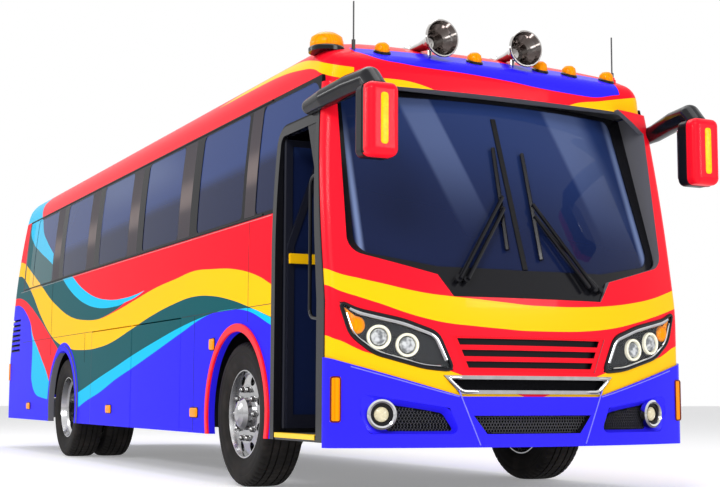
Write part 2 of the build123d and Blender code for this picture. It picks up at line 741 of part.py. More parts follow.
def bumper_zone():
    """The bumper's outline from the front; its top rises towards the corners."""
    points = [(0, BUMPER_LOW), (WIDE, BUMPER_LOW), (WIDE, BUMPER_SIDE_TOP + 1), (HALF_WIDTH, BUMPER_SIDE_TOP),
              (BUMPER_FLAT, BUMPER_TOP), (0, BUMPER_TOP)]
    return front_outline(mirrored(points), -FAR, DOOR_FRONT)


def front_hole(half_outline):
    """A hole through the front over a mirrored outline."""
    return front_outline(mirrored(list(half_outline)), -FAR, DOOR_FRONT)


def pair_of_holes(outline, depth, r=0.0):
    """Holes through both sides of the front; a radius rounds all corners but the last."""
    rounded = [(corner, r) for corner in outline[:-1]] if r else ()
    hole = front_outline(list(outline), -FAR, depth, rounded)
    return hole + flip(hole)


SCREEN = screen_form(0)
BUMPER_ZONE = bumper_zone()
headlamp_holes = pair_of_holes(HEADLAMP, DOOR_FRONT * 2)
pocket_holes = pair_of_holes(POCKET, DOOR_FRONT, POCKET_R)
grille_hole = front_hole(GRILLE)
chrome_hole = front_hole(CHROME)
mesh_hole = front_hole(MESH)


def front_fascia():
    """The painted front with its corner posts, and cheeks from the posts back to the windshield."""
    wall = (WALL_LAYER & FRONT_ZONE) & block(-WIDE, WIDE, -FAR, CAP_CUT, SKIRT_Z, CAP_Z)
    cheek = envelope(SKIN + 2) & block(POST_X, POST_X + CHEEK_T, -FAR, CAP_CUT + FAR, MASK_SIDE, CAP_Z)
    cheek = (cheek - SCREEN) & (FRONT_ZONE + INSIDE)
    return wall - aperture() - BUMPER_ZONE - headlamp_holes - grille_hole - chrome_hole + cheek + flip(cheek)


def windshield_surround():
    """The black frame round the glass, from just in front of it to just behind."""
    frame = (aperture(-SEAM, False) & envelope(SKIN + 2)) - screen_form(SCREEN_T + SURROUND_BACK)
    frame = (frame - screen_outline()) & screen_form(-SURROUND_PROUD)
    return frame & block(-WIDE, WIDE, -FAR, CAP_END, SKIRT_Z, CAP_Z - SEAM)


def grille():
    """A panel with slots across it, and a plate behind them."""
    panel = layer(6, 31) & grille_hole
    low_x, low = GRILLE[1]
    high_x, high = GRILLE[2]
    slant = (high_x - low_x) / (high - low)
    for i in range(GRILLE_SLOTS):
        z = low + GRILLE_EDGE + i * GRILLE_PITCH
        end = low_x - GRILLE_END + slant * (z - low)
        top_end, top = end + slant * GRILLE_SLOT, z + GRILLE_SLOT
        panel = panel - front_hole(((0, z), (end, z), (top_end, top), (0, top)))
    return panel + (layer(36, 8) & grille_hole)


save("front_fascia", front_fascia())
save("windshield_surround", windshield_surround())
save("windshield", (SCREEN - screen_form(SCREEN_T)) & screen_outline(SEAM))
bumper = (envelope(0) - envelope(SKIN + WALL)) & BUMPER_ZONE
save("front_bumper", bumper - mesh_hole - pocket_holes - chrome_hole)
backing = layer(WALL - 12, 8) & FRONT_ZONE
save("grille_backs", [backing & mesh_hole, backing & chrome_hole] + (backing & pocket_holes).solids())
save("grille", grille())
save("chrome_trim", ((envelope(SKIN - 10) - envelope(SKIN + 30)) & chrome_hole) - front_hole(CHROME_MOUTH))
save("headlamp_bowls", layer(20, WALL - 20) & headlamp_holes)
save("headlamp_lenses", layer(1, 4) & headlamp_holes)


# ---- rear wall ----
HINGE_HALF = ENGINE_DOOR_HALF * HINGE_SHARE
MIDDLE = BODY_LENGTH / 2
BEYOND = BODY_LENGTH + FAR
rear_glass_hole = front_outline(mirrored(list(REAR_GLASS)), MIDDLE, BEYOND)
lamp_slot = block(REAR_LAMP[0], REAR_LAMP[1], MIDDLE, BEYOND, REAR_LAMP[2], REAR_LAMP[3])


def rear_wall():
    """The rear wall, with two lugs that hold the engine door's hinge pin."""
    s, z = tail_face(ENGINE_DOOR_TOP), ENGINE_DOOR_TOP
    wall = WALL_LAYER & TAIL_ZONE & block(-WIDE, WIDE, MIDDLE, BODY_LENGTH + 1, SKIRT_Z, BAND_TOP)
    wall = wall - block(-ENGINE_DOOR_HALF, ENGINE_DOOR_HALF, MIDDLE, BEYOND, ENGINE_DOOR_LOW, z + MOVE)
    wall = wall - rear_glass_hole - lamp_slot - flip(lamp_slot)
    wall = wall - hinge_rod(HINGE_HALF + MOVE, FLAP_BARREL_R + MOVE)
    near = HINGE_HALF + MOVE
    lug = block(near, near + LUG_T, s - LUG_RUN, s + LUG_OUT, z - LUG_OUT, z + 2 * LUG_OUT)
    return wall + lug + flip(lug) + hinge_rod(near + LUG_T, HINGE_PIN_R)


def engine_door():
    """The engine's top-hinged door, with a barrel that turns on the pin between the lugs."""
    s, z = tail_face(ENGINE_DOOR_TOP), ENGINE_DOOR_TOP
    half = ENGINE_DOOR_HALF - MOVE
    door = layer(0, WALL) & block(-half, half, MIDDLE, BEYOND, ENGINE_DOOR_LOW + MOVE, z)
    far = HINGE_HALF + 2 * MOVE + LUG_T
    room = block(HINGE_HALF, far, s - LUG_RUN - MOVE, BODY_LENGTH, z - LUG_RUN - LUG_OUT, z + 1)
    door = door - room - flip(room) + hinge_rod(HINGE_HALF, FLAP_BARREL_R)
    return door - hinge_rod(HINGE_HALF + 1, HINGE_PIN_R + RUN)


save("rear_wall", rear_wall())
save("rear_window", layer(GLASS_SET, GLASS_T) & rear_glass_hole)
save("rear_lamps", both(layer(-6, 20) & lamp_slot))
save("engine_door", engine_door())
half = REAR_BUMPER_HALF
rear_bumper = block(-half, half, TAIL_CUT, BODY_LENGTH + 1, REAR_BUMPER_LOW, REAR_BUMPER_TOP)
save("rear_bumper", (envelope(0) - envelope(SKIN - SEAM)) & rear_bumper)


# ---- chassis ----
INNER_X = HALF_WIDTH - SKIN - WALL - SEAM      # where things meet the side walls' lining
rail = block(RAIL_X - RAIL_W, RAIL_X, 0, BODY_LENGTH, RAIL_LOW, RAIL_TOP)
inner = RAIL_X - RAIL_W - 1
rail = rail - block(inner, RAIL_X - RAIL_T, -1, BODY_LENGTH + 1, RAIL_LOW + RAIL_T, RAIL_TOP - RAIL_T)
save("chassis_rails", both(rail & INSIDE))

crossings = []
for s in CROSS_STATIONS:
    near, far = s - CROSS_HALF, s + CROSS_HALF
    middle = (RAIL_LOW + RAIL_TOP) / 2
    reach = RAIL_X - RAIL_T
    crossings.append(block(-reach, reach, near, far, middle - CROSS_HIGH / 2, middle + CROSS_HIGH / 2))
    support = RAIL_X - RAIL_W / 2
    inner, outer = support - CROSS_HALF, support + CROSS_HALF
    crossings += both(block(inner, outer, near, far, RAIL_TOP, FLOOR_TOP - FLOOR_T))
save("chassis_crossings", crossings)

# ---- floor, step well, wheel housings and lockers ----
STEP_RISE = (FLOOR_TOP - DOOR_SILL) / STEP_COUNT
WELL_FRONT = DOOR_OPEN_FRONT - STEP_T
WELL_REAR = DOOR_REAR - 20
step_edges = [INNER_X - STEP_FIRST - i * STEP_DEPTH for i in range(STEP_COUNT)]
floor = INSIDE & block(-WIDE, WIDE, 0, BODY_LENGTH, FLOOR_TOP - FLOOR_T, FLOOR_TOP)
floor = floor - block(-WIDE, -step_edges[-1], WELL_FRONT - STEP_T, WELL_REAR, 0, FLOOR_TOP + 1)
floor = floor - block(-WIDE, SEAM - INNER_X, 0, DOOR_REAR + 1, 0, FLOOR_TOP + 1)
save("floor_deck", floor)


def stair_line(depth):
    """The treads' and risers' outline from the door inwards, a depth below their surface."""
    points = [(-INNER_X, DOOR_SILL - depth)]
    for i, x in enumerate(step_edges):
        z = DOOR_SILL + i * STEP_RISE - depth
        points += [(-x + depth, z), (-x + depth, z + STEP_RISE)]
    points[-1] = (points[-1][0], FLOOR_TOP - FLOOR_T)
    return points


treads = front_outline(stair_line(0.0) + stair_line(STEP_T)[::-1], WELL_FRONT - STEP_T, WELL_REAR)
well_in = -step_edges[-1] + STEP_T
under = FLOOR_TOP - FLOOR_T
well_end = block(-INNER_X, well_in, WELL_FRONT - STEP_T, WELL_FRONT, DOOR_SILL - STEP_T, under)
rail_room = block(-RAIL_X - MOVE, 0, 0, DOOR_REAR, RAIL_LOW - MOVE, RAIL_TOP + MOVE)
well_end = well_end - rail_room
steps = treads + well_end + Pos(0, WELL_REAR - WELL_FRONT, 0) * well_end
save("entry_steps", steps)


def housing(s, inner, front, rear):
    """A wheel housing under the floor: an inner wall and two end walls."""
    top, low = FLOOR_TOP - FLOOR_T, RAIL_LOW
    shell = block(inner - STEP_T, INNER_X, s - front - STEP_T, s + rear + STEP_T, low, top)
    return shell - block(inner, INNER_X + 1, s - front, s + rear, low - 1, top + 1)


housings = both(housing(FRONT_AXLE, HOUSING_FRONT_X, HOUSING_FRONT, HOUSING_FRONT))
housings += both(housing(REAR_AXLE, HOUSING_REAR_X, HOUSING_REAR, HOUSING_REAR))
save("wheel_housings", housings)

locker_end = FLAP_FRONT + FLAP_COUNT * (FLAP_LEN + FLAP_GAP) - FLAP_GAP
base = SKIRT_Z + LOCKER_FLOOR
locker = block(LOCKER_WALL_X, INNER_X, FLAP_FRONT - STEP_T, locker_end + STEP_T, base, under)
for s in flap_starts():
    locker = locker - block(LOCKER_WALL_X + STEP_T, INNER_X + 1, s, s + FLAP_LEN, base + STEP_T, FLOOR_TOP)
save("luggage_lockers", both(locker))

# ---- entry door ----
OPEN_TOP = DOOR_TOP - DOOR_FRAME_W
OPEN_REAR = DOOR_REAR - DOOR_FRAME_W
PANEL_LOW = DOOR_SILL + PANEL_FOOT
PANEL_TOP = OPEN_TOP - PANEL_HEAD
HINGE_X = -(INNER_X - MOVE - PANEL_T / 2)      # line on which the rear panel turns
HINGE_S = OPEN_REAR + HINGE_IN
FREE_S = DOOR_OPEN_FRONT - PANEL_STEP          # the closed door's free edge
FOLD_X = HINGE_X + (HINGE_S - FREE_S) / 2      # line on which the folded panels meet
FOLD_S = HINGE_S - (PANEL_T + PANEL_GAP) / 2
PANEL_END = FOLD_X - PANEL_HINGE_OUT
REAR_PANEL_S = HINGE_S - PANEL_T / 2
FRONT_PANEL_S = REAR_PANEL_S - PANEL_GAP - PANEL_T


def door_outline(grow):
    """The door frame's outer edge: its front leans with the corner post, its rear top is round."""
    top, rear = DOOR_TOP + grow, DOOR_REAR + grow
    corner = (rear, top)
    points = [(DOOR_FRONT - grow, SKIRT_Z), (DOOR_FRONT - grow, LEAN_Z), (post_line(top) - grow, top), corner]
    points += [(rear, SKIRT_Z)]
    return side_outline(outline_face(points, [(corner, DOOR_CORNER_R + grow)]), -WIDE, -HALF_WIDTH / 2)


def door_opening():
    """The opening between the frame's posts."""
    corner = (OPEN_REAR, OPEN_TOP)
    points = [(DOOR_OPEN_FRONT, 0), (DOOR_OPEN_FRONT, LEAN_Z), (DOOR_OPEN_TOP, OPEN_TOP), corner]
    points += [(OPEN_REAR, 0)]
    return side_outline(outline_face(points, [(corner, DOOR_CORNER_R - DOOR_FRAME_W)]), -WIDE, 0)


def screen_back(z):
    """Station of the windshield frame's rear face beside the door, with room for the door's swing."""
    rake = radians(SCREEN_RAKE)
    turn = SCREEN_PLAN_R - (z - SCREEN_Z) * tan(rake) - (SCREEN_T + SURROUND_BACK) / cos(rake)
    return SCREEN_S + SCREEN_PLAN_R - sqrt(turn ** 2 - POST_X ** 2) + SCREEN_ROOM


# the cut across the front panel's top corner: run per rise, and where it leaves the free edge
CUT_LEAN = (screen_back(OPEN_TOP) - screen_back(SCREEN_Z)) / (OPEN_TOP - SCREEN_Z)
CUT_Z = SCREEN_Z + (FREE_S - screen_back(SCREEN_Z)) / CUT_LEAN
DOOR_CLEAR = HINGE_X - PANEL_T / 2 - MOVE      # what is fixed in the opening stays outside this line


def door_gusset():
    """A fixed plate that closes the corner cut off the front panel, outside the panel's swing."""
    points = [(DOOR_OPEN_FRONT - GUSSET_T, CUT_Z), (screen_back(OPEN_TOP), OPEN_TOP)]
    points += [(DOOR_OPEN_TOP, OPEN_TOP + GUSSET_T), (DOOR_OPEN_TOP - 2 * GUSSET_T, OPEN_TOP)]
    points += [(DOOR_OPEN_FRONT + GUSSET_T, LEAN_Z + 2 * GUSSET_T)]
    return side_outline(outline_face(points), DOOR_CLEAR - GUSSET_T, DOOR_CLEAR)


def handrail():
    """A bowed rail on the front post, in the opening but outside the closed door."""
    x = DOOR_CLEAR - RAIL_R
    into = DOOR_OPEN_FRONT - RAIL_R
    ends = [(x, into, RAIL_LOW_Z), (x, RAIL_S, RAIL_LOW_Z + RAIL_RISE), (x, RAIL_S, RAIL_TOP_Z - RAIL_RISE)]
    return tube_path(ends + [(x, into + DOOR_FRAME_W, RAIL_TOP_Z)], RAIL_R, RAIL_BEND)


def door_frame():
    """The frame with its sill, gusset and handrail, and the brackets and pins of the rear panel."""
    frame = (envelope(SKIN - DOOR_PROUD) - envelope(SKIN + WALL)) & door_outline(-SEAM)
    frame = frame - door_opening()
    near = DOOR_OPEN_FRONT - DOOR_FRAME_W
    frame = frame - block(-INNER_X, 0, near, DOOR_REAR + 1, DOOR_SILL + 1, OPEN_TOP + SEAM)
    for z in (PANEL_LOW - MOVE - BRACKET, PANEL_TOP + MOVE):
        near, far = HINGE_S - BRACKET, HINGE_S + BRACKET
        frame = frame + block(-INNER_X - 2, HINGE_X + BRACKET, near, far, z, z + BRACKET)
    for z in (PANEL_LOW - MOVE - 1, PANEL_TOP - PIN_HOLD + 4):
        frame = frame + rod((HINGE_X, HINGE_S, z), (HINGE_X, HINGE_S, z + PIN_HOLD + 3), HINGE_PIN_R)
    sill = block(-INNER_X - WALL, -INNER_X, DOOR_OPEN_FRONT - 1, OPEN_REAR + 1, SKIRT_Z, DOOR_SILL)
    return frame + sill + door_gusset() + handrail()


def panel_outline(edge, cut):
    """A folded panel's outline in x and z, a distance inside its edges; the cut clears the windshield."""
    low, top = PANEL_LOW + 2 * edge, PANEL_TOP - (2 * edge if cut else edge)
    near, far = HINGE_X + edge, PANEL_END - edge
    if not cut:
        return [(near, low), (near, top), (far, top), (far, low)]
    shift = edge * sqrt(1 + CUT_LEAN ** 2)
    corner = CUT_Z + (edge - shift) / CUT_LEAN
    cut_end = HINGE_X + shift + (top - CUT_Z) * CUT_LEAN
    return [(near, low), (near, corner), (cut_end, top), (far, top), (far, low)]


def panel(s, cut):
    """A door panel as it stands folded, with its glass opening."""
    slab = front_outline(panel_outline(0, cut), s, s + PANEL_T)
    return slab - front_outline(panel_outline(PANEL_STILE, cut), s - 1, s + PANEL_T + 1)


def pane(s, cut):
    """The glass of a folded panel."""
    near = s + (PANEL_T - PANE_T) / 2
    return front_outline(panel_outline(PANEL_STILE + SEAM, cut), near, near + PANE_T)


save("door_frame", door_frame())

rear_slab = panel(REAR_PANEL_S, False)
rear_slab = rear_slab + rod((HINGE_X, HINGE_S, PANEL_LOW), (HINGE_X, HINGE_S, PANEL_TOP), PANEL_T / 2)
for z in (PANEL_LOW - 1, PANEL_TOP - PIN_HOLD):
    top = z + PIN_HOLD + 1
    rear_slab = rear_slab - rod((HINGE_X, HINGE_S, z), (HINGE_X, HINGE_S, top), HINGE_PIN_R + RUN)
front_slab = panel(FRONT_PANEL_S, True)
bar = block(HINGE_X + 4, PANEL_END - 4, FRONT_PANEL_S - BAR_OUT, FRONT_PANEL_S, BAR_Z, BAR_Z + BAR_HIGH)
front_slab = front_slab + bar
long_z = 2 * KNUCKLE
for z, first in ((PANEL_LOW + KNUCKLE_END, 0), (PANEL_TOP - KNUCKLE_END - long_z, 1)):
    rear_z = z + first * KNUCKLE
    front_z = z + (1 - first) * KNUCKLE
    fold = (FOLD_X, FOLD_S)
    rear_slab = rear_slab + rod((*fold, rear_z), (*fold, rear_z + KNUCKLE - RUN), KNUCKLE_R)
    rear_slab = rear_slab + block(PANEL_END - 5, FOLD_X, FOLD_S, FOLD_S + 6, rear_z, rear_z + KNUCKLE - RUN)
    rear_slab = rear_slab + rod((*fold, z), (*fold, z + long_z - RUN), HINGE_PIN_R - 2)
    sleeve = rod((*fold, front_z), (*fold, front_z + KNUCKLE - RUN), KNUCKLE_R)
    sleeve = sleeve + block(PANEL_END - 5, FOLD_X, FOLD_S - 6, FOLD_S, front_z, front_z + KNUCKLE - RUN)
    front_slab = front_slab + sleeve
    front_slab = front_slab - rod((*fold, z - 1), (*fold, z + long_z + 1), HINGE_PIN_R - 2 + RUN)
save("door_panel_rear", rear_slab)
save("door_panel_front", front_slab)
save("door_pane_rear", pane(REAR_PANEL_S, False))
save("door_pane_front", pane(FRONT_PANEL_S, True))


# ---- axles and steering ----
def front_beam():
    """The front axle beam with its kingpins and the columns that stand for its springs."""
    s, z = FRONT_AXLE, AXLE_Z
    beam = block(-KINGPIN_X, KINGPIN_X, s - BEAM_HALF, s + BEAM_HALF, z - EYE_GAP + 5, z + 5)
    for side in (-1, 1):
        x = side * KINGPIN_X
        beam = beam + rod((x, s, z - EYE_GAP), (x, s, z + EYE_GAP), EYE_R - 2)
        beam = beam + rod((x, s, z - EYE_END - 1), (x, s, z + EYE_END + 1), KINGPIN_R)
        spring_x = side * (RAIL_X - RAIL_W / 2)
        beam = beam + rod((spring_x, s, z), (spring_x, s, RAIL_LOW), EYE_GAP)
    return beam


def knuckle():
    """The left knuckle: two eyes on the kingpin, a spindle, and a steering arm to the rear."""
    x, s = KINGPIN_X, FRONT_AXLE
    low, high = AXLE_Z - EYE_END, AXLE_Z + EYE_END
    body = block(x + EYE_R + 4, x + EYE_R + 34, s - EYE_R, s + EYE_R, low, high)
    for z in (low, AXLE_Z + EYE_GAP + RUN):
        top = z + EYE_END - EYE_GAP - RUN
        body = body + rod((x, s, z), (x, s, top), EYE_R)
        body = body + block(x, x + EYE_GAP, s - EYE_R, s + EYE_R, z, top)
    body = body + rod((x + EYE_GAP, s, AXLE_Z), (WHEEL_X + SPINDLE_END, s, AXLE_Z), SPINDLE_R)
    arm_top = low + ARM_T
    pin_s = s + STEER_ARM
    body = body + block(x - ROD_EYE_R, x + ROD_EYE_R, s, pin_s, low, arm_top)
    body = body + rod((x, pin_s, low), (x, pin_s, arm_top), ROD_EYE_R)
    body = body + rod((x, pin_s, arm_top - 1), (x, pin_s, ROD_Z + 16), ROD_PIN_R)
    return body - rod((x, s, low - 1), (x, s, high + 1), KINGPIN_R + RUN)


def tie_rod():
    """The rod between the steering arms; its right eye turns on the right arm's pin."""
    s = FRONT_AXLE + STEER_ARM
    bar = rod((-KINGPIN_X, s, ROD_Z), (KINGPIN_X, s, ROD_Z), ROD_R)
    for x, bore in ((-KINGPIN_X, ROD_PIN_R + RUN), (KINGPIN_X, ROD_PIN_R + 2)):
        low, high = ROD_Z - ROD_R - 0.7, ROD_Z + ROD_R + 0.7
        bar = bar + rod((x, s, low), (x, s, high), ROD_EYE_R)
        bar = bar - rod((x, s, low - 1), (x, s, high + 1), bore)
    return bar


def rear_axle():
    """The rear axle: tubes, shafts, differential, drive shaft and the columns that stand for its springs."""
    s, z = REAR_AXLE, AXLE_Z
    end = WHEEL_X - SHAFT_SHORT
    axle = rod((-AXLE_TUBE_X, s, z), (AXLE_TUBE_X, s, z), AXLE_TUBE_R)
    axle = axle + rod((-end, s, z), (end, s, z), SHAFT_R)
    axle = axle + Pos(0, station(s), z) * Sphere(DIFF_R)
    axle = axle + rod((0, s, z + EYE_GAP), (0, ENGINE_FRONT, z + EYE_GAP), DRIVE_R)
    for side in (-1, 1):
        spring_x = side * (RAIL_X - RAIL_W / 2)
        axle = axle + rod((spring_x, s, z), (spring_x, s, RAIL_LOW), AXLE_TUBE_R - 5)
    return axle


save("front_axle", front_beam())
save("knuckle_left", knuckle())
save("knuckle_right", flip(knuckle()))
save("tie_rod", tie_rod())
save("rear_axle", rear_axle())
engine_x = RAIL_X - RAIL_W - SEAM
engine_top = FLOOR_TOP - FLOOR_T - CROSS_HALF
save("engine", block(-engine_x, engine_x, ENGINE_FRONT, ENGINE_FRONT + ENGINE_LEN, ENGINE_LOW, engine_top))


# ---- wheels ----
def rim_barrel(shift):
    """The rim's ring: flanges, bead seats and well, as (x, radius)."""
    lip = RIM_HALF - FLANGE_T
    outer = [(-RIM_HALF, RIM_R), (-lip, RIM_R), (-lip, BEAD_R), (-80, BEAD_R)]
    outer += [(-60, BEAD_R - 10), (-40, WELL_R)]
    inner = [(-RIM_HALF, RIM_R - RIM_T), (-60, BEAD_R - 10 - RIM_T), (-44, WELL_R - RIM_T)]
    ring = outer + [(-x, r) for x, r in reversed(outer)]
    ring += [(-x, r) for x, r in inner] + [(x, r) for x, r in reversed(inner)]
    return [(x + shift, r) for x, r in ring]


def disc(shift, reach):
    """The wheel's dished disc, from its edge at the barrel to its flat bolting face."""
    out = 1 if reach > 0 else -1
    root = out * DISC_ROOT
    points = [(root, DISC_EDGE_R), (root + out * DISC_T, DISC_EDGE_R)]
    points += [(reach, DISC_FLAT_R), (reach, DISC_BORE_R)]
    points += [(reach - out * DISC_T, DISC_BORE_R), (reach - out * DISC_T, DISC_FLAT_R - DISC_T / 2)]
    return [(x + shift, r) for x, r in points]


def round_circle(count, at, r, s, side, x0, x1):
    """Rods along X, evenly spaced round the axle line; x from the bus's middle on the left side."""
    rods = []
    start = 0.5 if side < 0 else 0.25             # the two sides' wheels stand at different turns
    for i in range(count):
        turn = 2 * pi * (i + start) / count
        y, z = s + at * sin(turn), AXLE_Z + at * cos(turn)
        rods.append(rod((side * x0, y, z), (side * x1, y, z), r))
    return rods


def front_rim(side):
    """A front wheel's rim, disc, hub and brake drum."""
    rim = spin(rim_barrel(0), FRONT_AXLE, AXLE_Z, WHEEL_X, side)
    rim = rim + spin(disc(0, DISC_REACH), FRONT_AXLE, AXLE_Z, WHEEL_X, side)
    ends = (WHEEL_X, WHEEL_X + RIM_HALF)
    for hole in round_circle(HAND_HOLES, HAND_HOLE_AT, HAND_HOLE_R, FRONT_AXLE, side, *ends):
        rim = rim - hole
    face = DISC_REACH
    bore, end = SPINDLE_R + RUN, SPINDLE_END + 5
    hub = [(-100, bore), (end, bore), (end, 0), (face + 76, 0), (face + 72, 44), (face + 56, 84)]
    hub += [(face + 30, 104), (face, HUB_R), (face - DISC_T, HUB_R), (face - DISC_T - 8, 72), (-100, 60)]
    drum = [(-100, 60), (-100, DRUM_R), (60, DRUM_R), (60, DRUM_R - 10), (-90, DRUM_R - 10), (-90, 60)]
    rim = rim + spin(hub, FRONT_AXLE, AXLE_Z, WHEEL_X, side) + spin(drum, FRONT_AXLE, AXLE_Z, WHEEL_X, side)
    x = WHEEL_X + face
    return rim + (round_circle(STUDS, STUD_AT, STUD_R, FRONT_AXLE, side, x - 2, x + STUD_OUT) if side < 0 else [])


def rear_rims(side):
    """A twin wheel's rims, back-to-back discs, hub and brake drum."""
    middle = TWIN_PITCH / 2
    rim = spin(rim_barrel(0), REAR_AXLE, AXLE_Z, WHEEL_X, side)
    rim = rim + spin(rim_barrel(-TWIN_PITCH), REAR_AXLE, AXLE_Z, WHEEL_X, side)
    rim = rim + spin(disc(0, -middle), REAR_AXLE, AXLE_Z, WHEEL_X, side)
    rim = rim + spin(disc(-TWIN_PITCH, middle), REAR_AXLE, AXLE_Z, WHEEL_X, side)
    inside, outside = WHEEL_X - TWIN_PITCH, WHEEL_X
    for hole in round_circle(HAND_HOLES, HAND_HOLE_AT, HAND_HOLE_R, REAR_AXLE, side, inside, outside):
        rim = rim - hole
    end = -middle
    bore, stop = SHAFT_R + RUN, 2 - SHAFT_SHORT
    hub = [(end - 150, bore), (stop, bore), (stop, 0), (40, 0), (34, 44), (18, 62)]
    hub += [(end + 60, 74), (end + 20, HUB_R), (end, HUB_R), (end - DISC_T, 72), (end - 150, 66)]
    near, far = end - 148, end - 2 * DISC_T - 8
    drum = [(near - 12, 46), (near - 12, DRUM_R - 4), (far + 10, DRUM_R - 4), (far + 18, 80), (far + 6, 80)]
    drum += [(far, DRUM_R - 14), (near, DRUM_R - 14), (near, 46)]
    rim = rim + spin(hub, REAR_AXLE, AXLE_Z, WHEEL_X, side) + spin(drum, REAR_AXLE, AXLE_Z, WHEEL_X, side)
    x = WHEEL_X + end + DISC_T
    return rim + (round_circle(STUDS, STUD_AT, STUD_R, REAR_AXLE, side, x - 2, x + STUD_OUT) if side < 0 else [])


def faceted_ring(profile, s, x):
    """A ring of flat faces about the axle line: the profile is (x, radius to the flats), a flat lowest."""
    turn = 2 * pi / TYRE_FACETS
    grow = 1 / cos(turn / 2)
    rows = []
    for i in range(TYRE_FACETS):
        angle = turn * (i + 0.5)
        across, up = sin(angle) * grow, -cos(angle) * grow
        rows.append([Vector(x + px, station(s) + pr * across, AXLE_Z + pr * up) for px, pr in profile])
    faces = []
    for i, row in enumerate(rows):
        after = rows[(i + 1) % TYRE_FACETS]
        for j in range(len(profile)):
            k = (j + 1) % len(profile)
            faces.append(Face(Wire.make_polygon([row[j], row[k], after[k], after[j]], close=True)))
    ring = Solid(Shell(faces))
    return ring if ring.volume > 0 else Solid(ring.wrapped.Reversed())


def tyre(s, x):
    """A tyre without tread, filled between its beads."""
    half = TYRE_W / 2
    lip = RIM_HALF - FLANGE_T - SEAM
    right = [(lip, BEAD_R + SEAM), (lip, RIM_R + 6), (half, TYRE_R - 108)]
    right += [(half - 16, TYRE_R - 14), (half - 52, TYRE_R)]
    return faceted_ring(right + [(-px, pr) for px, pr in reversed(right)], s, x)


for name, side in (("left", 1), ("right", -1)):
    save(f"rim_front_{name}", front_rim(side))
    save(f"tyre_front_{name}", tyre(FRONT_AXLE, side * WHEEL_X))
    save(f"rims_rear_{name}", rear_rims(side))
    save(f"tyres_rear_{name}", [tyre(REAR_AXLE, side * x) for x in (WHEEL_X, WHEEL_X - TWIN_PITCH)])


# ---- seats and dashboard ----
def seat(x0, width, s, high):
    """A bench seen from the side, as wide as given: pedestal, cushion and raked back."""
    pts = [(180, 0), (180, 380), (0, 395), (0, 480), (420, 450), (520, high - 10), (560, high)]
    pts += [(600, high - 20), (530, 420), (360, 380), (360, 0)]
    return side_outline(outline_face([(s + a, FLOOR_TOP + b) for a, b in pts]), x0, x0 + width)


def benches():
    """Two rows of benches along the aisle, and the driver's seat."""
    out = INNER_X - SEAT_WALL_GAP - SEAT_WIDTH
    rows = []
    for i in range(SEAT_ROWS):
        rows += both(seat(out, SEAT_WIDTH, SEAT_FIRST + i * SEAT_PITCH, SEAT_HIGH))
    driver = seat(DRIVER_X - DRIVER_SEAT_W / 2, DRIVER_SEAT_W, DRIVER_S - DRIVER_BACK, SEAT_HIGH)
    return rows + [driver]


def dashboard():
    """The dashboard across the front, with the steering column and wheel."""
    deep, low, high = DASH_DEPTH, FLOOR_TOP, DASH_TOP
    face = outline_face([(0, low), (deep, low), (deep + 60, high - 70), (deep, high), (0, high - 70)])
    dash = side_outline(face, -step_edges[-1] + 40, INNER_X) & INSIDE & screen_form(SCREEN_T + 30 + SEAM)
    column = rod((DRIVER_X, deep, high - 40), (DRIVER_X, WHEEL_S - 10, WHEEL_Z - 7), 28)
    face = Plane(origin=(DRIVER_X, station(WHEEL_S), WHEEL_Z), z_dir=(0, 200, 140))
    wheel = face * Torus(STEERING_R, 15) + face * Cylinder(40, 30)
    for i in range(3):
        wheel = wheel + face * Rot(0, 0, 90 + 120 * i) * Pos(STEERING_R / 2, 0, 0) * Box(STEERING_R, 28, 10)
    return dash + column + wheel


save("seats", benches())
save("dashboard", dashboard())


# ---- roof fittings ----
CAP = cap_envelope(SKIN)


def roof_z(x, s):
    """Height of the cap's surface above a point."""
    line = block(x - 0.5, x + 0.5, s - 0.5, s + 0.5, CAP_Z + WALL, CROWN_Z + 50) & CAP
    return line.bounding_box().max.Z


def dome(x, s, r, high):
    """A round lamp on the cap, with a rounded top."""
    profile = [(0, -20), (r, -20), (r, high * 0.35), (r * 0.92, high * 0.7)]
    profile += [(r * 0.6, high * 0.95), (0, high)]
    body = revolve(Plane.XZ * outline_face(profile), axis=Axis.Z, revolution_arc=360)
    return (Pos(x, station(s), roof_z(x, s)) * body) - CAP


def horn(x, s, toe):
    """A trumpet horn on two posts, mouth to the front."""
    z = roof_z(x, s + 120) + 95
    pts = [(0, 0), (118, 0), (122, 8), (104, 40), (70, 90), (44, 160), (30, 260), (24, 380)]
    pts += [(42, 400), (42, 470), (0, 480)]
    body = revolve(outline_face(pts), axis=Axis.Y, revolution_arc=360)
    mouth = outline_face([(0, -1), (110, -1), (96, 36), (62, 88), (36, 160), (0, 170)])
    bell = body - revolve(mouth, axis=Axis.Y, revolution_arc=360)
    trumpet = Pos(x, station(s), z) * Rot(0, 0, toe) * bell
    for back in (170, 390):
        trumpet = trumpet + rod((x, s + back, CAP_Z + WALL), (x, s + back, z), 14)
    return trumpet - CAP


def antenna(x):
    """A whip antenna on its foot."""
    s = ANTENNA_S
    low = CAP_Z + WALL
    mast = rod((x, s, low), (x, s, ANTENNA_TOP), 5) + rod((x, s, low), (x, s, roof_z(x, s) + 60), 12)
    return mast - CAP


save("air_horns", [horn(-400, HORN_S, 4), horn(215, HORN_S, -2)])
save("antennas", [antenna(-940), antenna(1000)])


